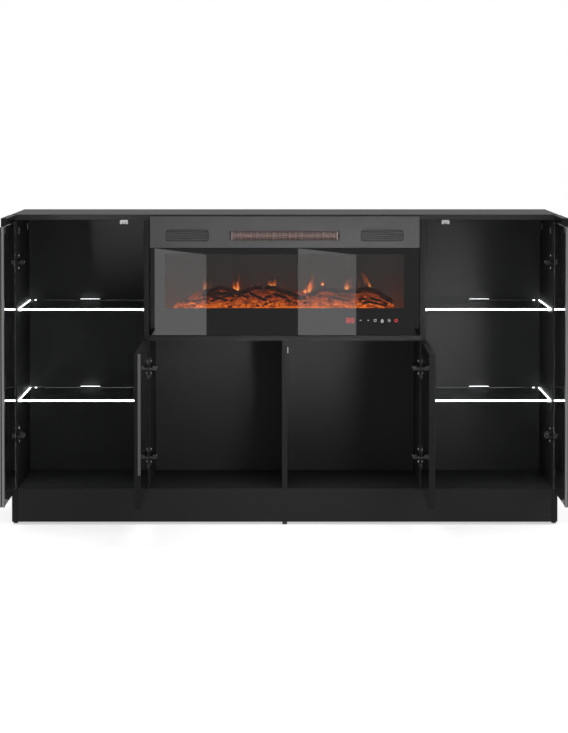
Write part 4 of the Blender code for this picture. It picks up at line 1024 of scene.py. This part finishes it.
class FireBed(bpy.types.Operator):
    """Build the embers, logs and flames, and finish the screen behind them"""

    bl_idname = "sideboard.fire"
    bl_label = "Fire"

    def execute(self, context):
        light = context.scene.sideboard_light
        below_window, bed_rise, dimmed = 0.004, 0.050, 0.8
        foot = light.window_low[1] - below_window
        ash = ember_finish("ember_ash", light.hot, light.deep, light.ember_glow * dimmed, foot,
                           foot + bed_rise)
        mound = add_piece("ember_mound", self.mound(), ash, "cabinet", 50.0)
        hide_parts("ember_bed")
        lump = lump_finish("ember_lumps", light.hot, light.deep, light.ember_glow)
        self.lumps(lump)
        bark = bark_finish("charred_bark", (0.055, 0.047, 0.044), light.deep, light.ember_glow * dimmed)
        self.logs(bark)
        self.flames(flame_finish("flame_light", (1.0, 0.42, 0.10), (1.0, 0.17, 0.03), light.flame_glow))
        ember_light_foot, ember_light_top = 0.64, 0.76
        paint(screen_finish("flame_screen_film", (0.112, 0.101, 0.094), light.deep, ember_light_foot, ember_light_top),
              "flame_screen")
        return {"FINISHED"}

    def height(self, x, y):
        """Bed surface: floor + (lip + slope s^1.25 + waves of three lengths) times the ends.

        s goes from 0 at the front to 1 at the back. The ends are two smooth steps 3 t^2 - 2 t^3, which sink
        the bed to its floor over 100 mm on the left and 60 mm on the right.
        """
        bed_floor, lip, slope = 0.6270, 0.0095, 0.043
        left_end, left_run, right_end, right_run = -0.345, 0.10, 0.330, 0.06
        share = (y - BED_LOW.y) / (BED_HIGH.y - BED_LOW.y)
        left, right = np.clip((x - left_end) / left_run, 0, 1), np.clip((right_end - x) / right_run, 0, 1)
        ends = (left * left * (3 - 2 * left)) * (right * right * (3 - 2 * right))
        waves = (0.0030 * np.sin(61 * x + 40 * y) + 0.0020 * np.sin(127 * x - 95 * y)
                 + 0.0014 * np.sin(310 * x + 170 * y) * np.sin(260 * y - 90 * x))
        return bed_floor + (lip + slope * share**1.25 + waves) * ends

    def mound(self):
        """Closed mound: at each X a ring runs along the top of the bed and back under it."""
        rings, columns = 240, 26
        x = np.linspace(BED_LOW.x, BED_HIGH.x, rings)
        y = np.linspace(BED_LOW.y, BED_HIGH.y, columns)
        grid_x, grid_y = np.meshgrid(x, y, indexing="ij")
        top = np.stack([grid_x, grid_y, self.height(grid_x, grid_y)], -1)
        under = np.stack([np.stack([x, np.full_like(x, edge), np.full_like(x, BED_LOW.z)], -1)
                          for edge in (BED_HIGH.y, BED_LOW.y)], 1)
        return skin(np.concatenate([top, under], axis=1))

    def lumps(self, material):
        """Glowing blunt spindles of split wood on the bed, with painted shade where they turn from the front.

        Along a lump u runs from -1 to 1 and its radius is R (1 - u^4)^0.5 with ridges; the warmth of a point
        is the share of its side that faces the front, less on lumps that lie higher, and one in five is dark.
        """
        random = np.random.default_rng(11)
        count, left, right, front_gap, rear_gap = 230, -0.328, 0.316, 0.005, 0.017
        x = random.uniform(left, right, count)
        depth = BED_HIGH.y - BED_LOW.y - front_gap - rear_gap
        y = BED_LOW.y + front_gap + random.uniform(0, 1, count) ** 1.3 * depth
        z = self.height(x, y) + random.uniform(-0.001, 0.003, count)
        half = random.uniform(0.007, 0.019, count)
        radius = random.uniform(0.0028, 0.0060, count)
        tilt, yaw = random.normal(0, 0.38, count), random.normal(0, 0.3, count)
        angle = round_angles(10)
        u = np.linspace(-0.985, 0.985, 9)
        phase = random.uniform(0, 6.28, (count, 1, 1))
        ridge = 1 + 0.2 * np.sin(3 * angle + phase) + 0.16 * np.sin(5 * u[:, None] + 2 * phase)
        size = radius[:, None, None] * np.sqrt(1 - u**4)[:, None] * ridge
        along = np.broadcast_to((half[:, None] * u)[:, :, None], size.shape)
        local = np.stack([along, size * np.cos(angle), size * np.sin(angle)], -1)
        cos_tilt, sin_tilt, cos_yaw, sin_yaw = np.cos(tilt), np.sin(tilt), np.cos(yaw), np.sin(yaw)
        turn = np.stack([np.stack([cos_yaw * cos_tilt, -sin_yaw, -cos_yaw * sin_tilt], -1),
                         np.stack([sin_yaw * cos_tilt, cos_yaw, -sin_yaw * sin_tilt], -1),
                         np.stack([sin_tilt, np.zeros(count), cos_tilt], -1)], 1)
        rings = np.einsum("nij,nrcj->nrci", turn, local) + np.stack([x, y, z], -1)[:, None, None]
        warm_foot, warm_fall, coolest, dark_share, dark = 0.637, 0.036, 0.16, 0.2, 0.1
        # Painted shade: the glow fades where a lump turns from the front, so the gaps between lumps read
        # dark.
        front = np.clip(0.15 - 0.9 * np.cos(angle), 0, 1)
        warm = np.clip(1.12 - (z - warm_foot) / warm_fall, coolest, 1) * random.uniform(0.5, 1.15, count)
        warm *= np.where(random.uniform(0, 1, count) < dark_share, dark, 1.0)
        warmth = warm[:, None, None] * (1 - u**6)[:, None] * front
        values = np.concatenate([with_ends(own, 0.0, 0.0) for own in warmth])
        add_piece("ember_lumps", joined([skin(own) for own in rings]), material, "cabinet", 70.0,
                  {"warmth": values})

    def logs(self, material):
        """Charred logs and twigs: bent tapered tubes with ridged bark, r = R (1 - s / 4) (1 + ridges) ends.

        s runs from 0 to 1 along a log. The ends narrow to 45 %, and a log is warm on its underside.
        Each row has the radius, and points that the log goes through, with Y from just behind the middle.
        """
        behind_middle = 0.006
        middle = (BED_LOW.y + BED_HIGH.y) / 2 + behind_middle
        layout = (
            (0.0088, ((-0.242, 0.008, 0.662), (-0.212, 0.006, 0.680), (-0.185, 0.004, 0.688),
                      (-0.160, 0.000, 0.683), (-0.130, -0.006, 0.670))),
            (0.0078, ((-0.152, 0.010, 0.664), (-0.120, 0.012, 0.676), (-0.095, 0.012, 0.686),
                      (-0.068, 0.016, 0.690))),
            (0.0088, ((-0.058, 0.014, 0.691), (-0.030, 0.010, 0.685), (0.002, 0.004, 0.676),
                      (0.032, -0.002, 0.667), (0.062, -0.008, 0.655))),
            (0.0070, ((0.044, 0.012, 0.653), (0.075, 0.012, 0.666), (0.106, 0.014, 0.680))),
            (0.0078, ((0.098, 0.006, 0.684), (0.135, 0.006, 0.682), (0.175, 0.004, 0.678),
                      (0.216, 0.004, 0.679))),
            (0.0090, ((0.196, 0.012, 0.674), (0.235, 0.010, 0.683), (0.262, 0.006, 0.680),
                      (0.290, 0.000, 0.666), (0.316, -0.006, 0.648))),
            (0.0042, ((-0.104, -0.006, 0.676), (-0.086, -0.010, 0.668), (-0.062, -0.016, 0.658),
                      (-0.040, -0.020, 0.650))),
            (0.0038, ((-0.030, -0.002, 0.673), (-0.004, -0.010, 0.664), (0.014, -0.016, 0.654))),
            (0.0034, ((-0.215, -0.008, 0.666), (-0.190, -0.012, 0.661), (-0.168, -0.018, 0.655))),
            (0.0040, ((0.128, -0.010, 0.664), (0.160, -0.012, 0.660), (0.190, -0.018, 0.652))),
            (0.0046, ((0.216, -0.012, 0.658), (0.236, -0.016, 0.650), (0.252, -0.020, 0.645))),
            (0.0034, ((-0.296, -0.014, 0.646), (-0.268, -0.014, 0.652), (-0.244, -0.012, 0.656))),
            (0.0076, ((-0.236, -0.002, 0.662), (-0.206, -0.004, 0.671), (-0.174, -0.006, 0.673),
                      (-0.148, -0.008, 0.668))),
            (0.0028, ((-0.228, -0.020, 0.648), (-0.196, -0.016, 0.660), (-0.152, -0.012, 0.671))),
            (0.0038, ((0.226, -0.022, 0.646), (0.244, -0.024, 0.651), (0.266, -0.024, 0.648),
                      (0.288, -0.026, 0.642))),
            (0.0036, ((0.250, -0.014, 0.662), (0.280, -0.016, 0.654), (0.300, -0.018, 0.646))),
        )
        twig_radius, log_warmth, twig_warmth, end_warmth = 0.005, 0.6, 0.15, 0.1
        surfaces, warmth = [], []
        random = np.random.default_rng(5)
        rows = 56
        s = np.linspace(0, 1, rows)[:, None]
        ends = np.minimum(1.0, np.minimum(s, 1 - s) * 22 + 0.45)
        angle = round_angles(26)
        for radius, points in layout:
            path = curve_through(np.array(points) + (0.0, middle, 0.0), rows)
            kinks = random.uniform(0, 6.28, 8)
            bends = np.sin(19 * s + kinks[0]) + np.sin(43 * s + kinks[1])
            path[:, 2] += 0.10 * radius * bends[:, 0]
            ridges = (0.12 * np.abs(np.sin(2.5 * angle + 6 * s + kinks[2]))
                      + 0.07 * np.sin(7 * angle - 11 * s + kinks[3])
                      + 0.10 * np.sin(23 * s + 2 * angle + kinks[4])
                      + 0.06 * np.sin(61 * s + 5 * angle + kinks[5])
                      + 0.05 * np.sin(11 * angle + 31 * s + kinks[6]))
            size = radius * (1 - 0.25 * s) * (1 + ridges) * ends
            rings = swept(path, size * np.cos(angle), size * np.sin(angle))
            surfaces.append(skin(rings))
            lift = (rings[..., 2] - path[:, None, 2]) / radius
            warmest = log_warmth if radius > twig_radius else twig_warmth
            warmth.append(with_ends(warmest * np.clip(-0.3 - 1.4 * lift, 0.05, 1.0), end_warmth, end_warmth))
        add_piece("charred_logs", joined(surfaces), material, "cabinet", 50.0,
                  {"warmth": np.concatenate(warmth)})

    def flames(self, material):
        """Flames: thin leaves of half width 1.3 w (0.12 + sin(pi t^0.6)^0.8) (1 - 0.55 t) on a swaying line.

        t runs from 0 at the foot to 1 at the tip. Each row has X and Z of the foot, the height, the width w,
        the lean of the tip and the fullness of the light. rise, rim and full are values for the finish.
        """
        layout = (
            (-0.2370, 0.684, 0.044, 0.0080, 0.000, 0.40), (-0.2200, 0.688, 0.030, 0.0060, 0.002, 0.20),
            (-0.1480, 0.681, 0.032, 0.0075, -0.004, 0.95), (-0.1400, 0.681, 0.038, 0.0070, 0.003, 1.00),
            (-0.1360, 0.690, 0.072, 0.0036, 0.003, 0.22), (-0.0780, 0.690, 0.034, 0.0060, 0.004, 0.20),
            (-0.0980, 0.686, 0.040, 0.0040, -0.003, 0.14), (-0.0420, 0.695, 0.022, 0.0080, -0.004, 0.70),
            (-0.0320, 0.692, 0.030, 0.0070, 0.005, 0.80), (-0.0060, 0.686, 0.028, 0.0050, 0.002, 0.16),
            (0.0620, 0.672, 0.020, 0.0090, -0.002, 0.95), (0.0720, 0.676, 0.044, 0.0090, 0.006, 0.95),
            (0.0800, 0.690, 0.074, 0.0060, 0.010, 0.24), (0.0840, 0.684, 0.040, 0.0050, 0.004, 0.30),
            (0.1120, 0.697, 0.014, 0.0036, 0.000, 1.60), (0.1830, 0.683, 0.040, 0.0080, 0.001, 0.75),
            (0.1920, 0.686, 0.048, 0.0060, 0.004, 0.35), (0.2520, 0.686, 0.062, 0.0056, -0.030, 0.62),
            (0.2380, 0.700, 0.050, 0.0040, -0.018, 0.42), (0.2200, 0.690, 0.056, 0.0030, -0.006, 0.18),
        )
        before_screen, step_forward, steps_forward, thickness, ripple = 0.006, 0.0016, 3, 0.0012, 0.0016
        rows, columns = 30, 20
        t = np.linspace(0.0, 1.0, rows)[:, None]
        angle = round_angles(columns)
        whole = np.ones((rows, columns))
        rim = np.abs(np.cos(angle)) ** 1.5
        surfaces, rises, rims, fulls = [], [], [], []
        for index, (x, z, tall, wide, lean, full) in enumerate(layout):
            half = 1.3 * wide * (0.12 + np.sin(np.pi * t**0.6) ** 0.8) * (1 - 0.55 * t)
            sway = lean * t**1.5 + ripple * np.sin(8 * t + 2 * index) * t
            y = SCREEN_FACE - before_screen - step_forward * (index % steps_forward)
            rings = np.stack([x + sway + half * np.cos(angle), y + thickness * (1.02 - t) * np.sin(angle),
                              (z + tall * t) * whole], -1)
            surfaces.append(skin(rings))
            rises.append(with_ends(t * whole, 0.0, 1.0))
            rims.append(with_ends(rim * whole, 0.5, 0.5))
            fulls.append(with_ends(full * whole, full, full))
        add_piece("flames", joined(surfaces), material, "cabinet", 180.0,
                  {"rise": np.concatenate(rises), "rim": np.concatenate(rims), "full": np.concatenate(fulls)})


class InsertWorks(bpy.types.Operator):
    """Finish the casing, blower, heater and flicker spindle"""

    bl_idname = "sideboard.works"
    bl_label = "Works of the fireplace"

    def execute(self, context):
        black = (0.02, 0.02, 0.02)
        paint(moulded("black_casing", black, 0.5, 600.0, 0.3, 0.2), "fireplace_casing", "blower_housing")
        paint(metal("bright_steel", (0.55, 0.55, 0.56), 0.25, (0.3, 4.0, 4.0)),
              "blower_wheel", "flame_spindle", "blower_motor")
        paint(metal("heater_fins", (0.42, 0.36, 0.32), 0.5, scale=220.0), "heater_element")
        paint(moulded("motor_black", black, 0.5), "spindle_motor")
        return {"FINISHED"}


def seen_rays(tree):
    """1 for camera, glossy and transmission rays, else 0."""
    path = tree.nodes.new("ShaderNodeLightPath")
    total = path.outputs["Is Camera Ray"]
    for name in ("Is Glossy Ray", "Is Transmission Ray"):
        adder = tree.nodes.new("ShaderNodeMath")
        adder.operation = "MAXIMUM"
        tree.links.new(total, adder.inputs[0])
        tree.links.new(path.outputs[name], adder.inputs[1])
        total = adder.outputs[0]
    return total


def add_stage(name, points, faces, material, unseen_by=()):
    """Put a flat piece of the studio into the scene, unseen by some kinds of rays."""
    mesh = bpy.data.meshes.new(name)
    mesh.from_pydata(np.asarray(points).tolist(), [], np.asarray(faces).tolist())
    mesh.materials.append(material)
    made = bpy.data.objects.new(name, mesh)
    bpy.context.scene.collection.objects.link(made)
    for rays in unseen_by:
        setattr(made, f"visible_{rays}", False)


class Studio(bpy.types.Operator):
    """White studio: room light, floor, lamps and their flag, camera, and two panels for the fire glass"""

    bl_idname = "sideboard.studio"
    bl_label = "Studio"

    def execute(self, context):
        look = context.scene.sideboard_studio
        context.scene.view_settings.view_transform = "Standard"
        self.room(context.scene, look)
        self.floor()
        self.lamps(context.scene, look)
        self.flag()
        eye = self.camera(context.scene, look)
        self.cards(look, eye)
        return {"FINISHED"}

    def room(self, scene, look):
        """World: white where it is seen, and dimmer as light on the object."""
        world = bpy.data.worlds.new("white_room")
        scene.world = world
        world.use_nodes = True
        tree = world.node_tree
        seen, light = tree.nodes["Background"], tree.nodes.new("ShaderNodeBackground")
        for background, strength in ((seen, 1.0), (light, look.ambient)):
            background.inputs["Color"].default_value = opaque(WHITE)
            background.inputs["Strength"].default_value = strength
        mixer = tree.nodes.new("ShaderNodeMixShader")
        tree.links.new(seen_rays(tree), mixer.inputs["Fac"])
        tree.links.new(light.outputs[0], mixer.inputs[1])
        tree.links.new(seen.outputs[0], mixer.inputs[2])
        tree.links.new(mixer.outputs[0], tree.nodes["World Output"].inputs["Surface"])

    def floor(self):
        """Pale floor that reads white to the camera and keeps a soft shadow."""
        reach, count, drop, lift = 9.0, 13, 0.0005, 0.55
        paper = Finish("studio_floor", (0.82, 0.82, 0.82), 0.9, specular=0.0)
        paper.set("Emission Color", opaque(WHITE))
        paper.feed("Emission Strength", paper.product(seen_rays(paper.tree), lift))
        steps = np.linspace(-reach, reach, count)
        x, y = np.meshgrid(steps, steps, indexing="ij")
        points = np.stack([x, y, np.full_like(x, -drop)], -1).reshape(-1, 3)
        add_stage("floor", points, grid_quads(count, count)[:, ::-1], paper.material)

    def lamps(self, scene, look):
        """A wide overhead light, a soft one from the front right, and two narrow beams into the side bays.

        Each row has the light's name, power, width and height, place, the point it is aimed at, and its
        spread in degrees.
        """
        left_share = 0.13
        for name, power, size, place, target, spread in (
                ("overhead", look.key_power, (4.0, 2.0), (0.0, -1.0, 3.2), (0.0, 0.04, 0.0), 180.0),
                ("front_right", look.side_power, (0.9, 0.9), (1.6, -4.0, 0.9), (0.0, 0.2, 0.6), 180.0),
                ("beam_right", look.beam_power, (1.2, 0.25), (1.45, -4.2, 0.6), (0.32, 0.395, 0.60), 10.0),
                ("beam_left", look.beam_power * left_share, (0.12, 0.12), (-1.7, -4.2, 0.4),
                 (-0.46, 0.395, 0.92), 6.0)):
            lamp = bpy.data.lights.new(name, "AREA")
            lamp.shape = "RECTANGLE"
            lamp.size, lamp.size_y = size
            lamp.energy = power
            lamp.spread = math.radians(spread)
            made = bpy.data.objects.new(name, lamp)
            made.location = place
            aim = Vector(target) - Vector(place)
            made.rotation_euler = aim.to_track_quat("-Z", "Y").to_euler()
            made.visible_glossy = False
            scene.collection.objects.link(made)

    def flag(self):
        """A flag that keeps the front right light out of the left bay; only its shadow shows."""
        before_front, left, right, foot, top = 0.44, -0.56, -0.19, 0.10, 0.93
        corners = [(x, FRONT_Y - before_front, z)
                   for x, z in ((left, foot), (right, foot), (right, top), (left, top))]
        add_stage("flag", corners, [(0, 1, 2, 3)], bpy.data.materials.new("flag_cloth"),
                  ("camera", "diffuse", "glossy", "transmission", "volume_scatter"))

    def camera(self, scene, look):
        """Long lens, level but for a small tilt; the lens shift lowers the frame. Gives the eye's place."""
        data = bpy.data.cameras.new("camera")
        data.sensor_width = 36.0
        data.lens = look.lens
        data.shift_y = look.shift
        made = bpy.data.objects.new("camera", data)
        made.location = (look.sideways, FRONT_Y - look.distance, look.height)
        made.rotation_euler = (math.pi / 2 - look.tilt, 0.0, 0.0)
        scene.collection.objects.link(made)
        scene.camera = made
        return np.array(made.location)

    def cards(self, look, eye):
        """Two upright panels in front, seen only as mirror images in the fire glass.

        A point P of the glass shows the panel point P + (P - eye) d / L in X and Z, at a distance d in front
        of the glass, where L is the distance from the eye to the glass. Each row has the name and the limits
        of the image in X; its top slopes down to the right.
        """
        ahead, foot, top_left, top_right = 1.6, 0.50, 0.8115, 0.792
        panel = Finish("panel_light", (0.0, 0.0, 0.0), 0.5)
        panel.set("Emission Color", opaque(WHITE))
        panel.set("Emission Strength", look.card_glow)
        for name, left, right in (("left", -0.380, -0.2290), ("right", 0.039, 0.2088)):
            seen = np.array([(left, foot), (right, foot), (right, top_right), (left, top_left)])
            far = seen + (seen - eye[[0, 2]]) * ahead / (GLASS_FACE - eye[1])
            points = np.stack([far[:, 0], np.full(len(far), GLASS_FACE - ahead), far[:, 1]], -1)
            add_stage(f"panel_{name}", points, [(3, 2, 1, 0)], panel.material,
                      ("camera", "diffuse", "shadow", "transmission", "volume_scatter"))


OPERATORS = (CabinetBoards, CabinetDoors, HingeFittings, CabinetFittings, ShelfLights, InsertFront, FireBed,
             InsertWorks, Studio)
SETTINGS = {"sideboard_cabinet": CabinetSettings, "sideboard_light": LightSettings,
            "sideboard_studio": StudioSettings}


class SideboardPanel(bpy.types.Panel):
    """Settings and steps of the sideboard"""

    bl_idname = "VIEW3D_PT_sideboard"
    bl_label = "Sideboard"
    bl_space_type = "VIEW_3D"
    bl_region_type = "UI"
    bl_category = "Sideboard"

    def draw(self, context):
        for key, group in SETTINGS.items():
            box = self.layout.box()
            for name in group.__annotations__:
                box.prop(getattr(context.scene, key), name)
        for operator in OPERATORS:
            self.layout.operator(operator.bl_idname)


def register():
    """Register the settings, operators and panel."""
    for made in (*SETTINGS.values(), *OPERATORS, SideboardPanel):
        bpy.utils.register_class(made)
    for key, group in SETTINGS.items():
        setattr(bpy.types.Scene, key, bpy.props.PointerProperty(type=group))


def unregister():
    """Take the settings, operators and panel away again."""
    for key in SETTINGS:
        delattr(bpy.types.Scene, key)
    for made in (SideboardPanel, *reversed(OPERATORS), *reversed(tuple(SETTINGS.values()))):
        bpy.utils.unregister_class(made)


def main():
    """Run every step in order."""
    register()
    for operator in OPERATORS:
        group, name = operator.bl_idname.split(".")
        getattr(getattr(bpy.ops, group), name)()


if __name__ == "__main__":
    main()
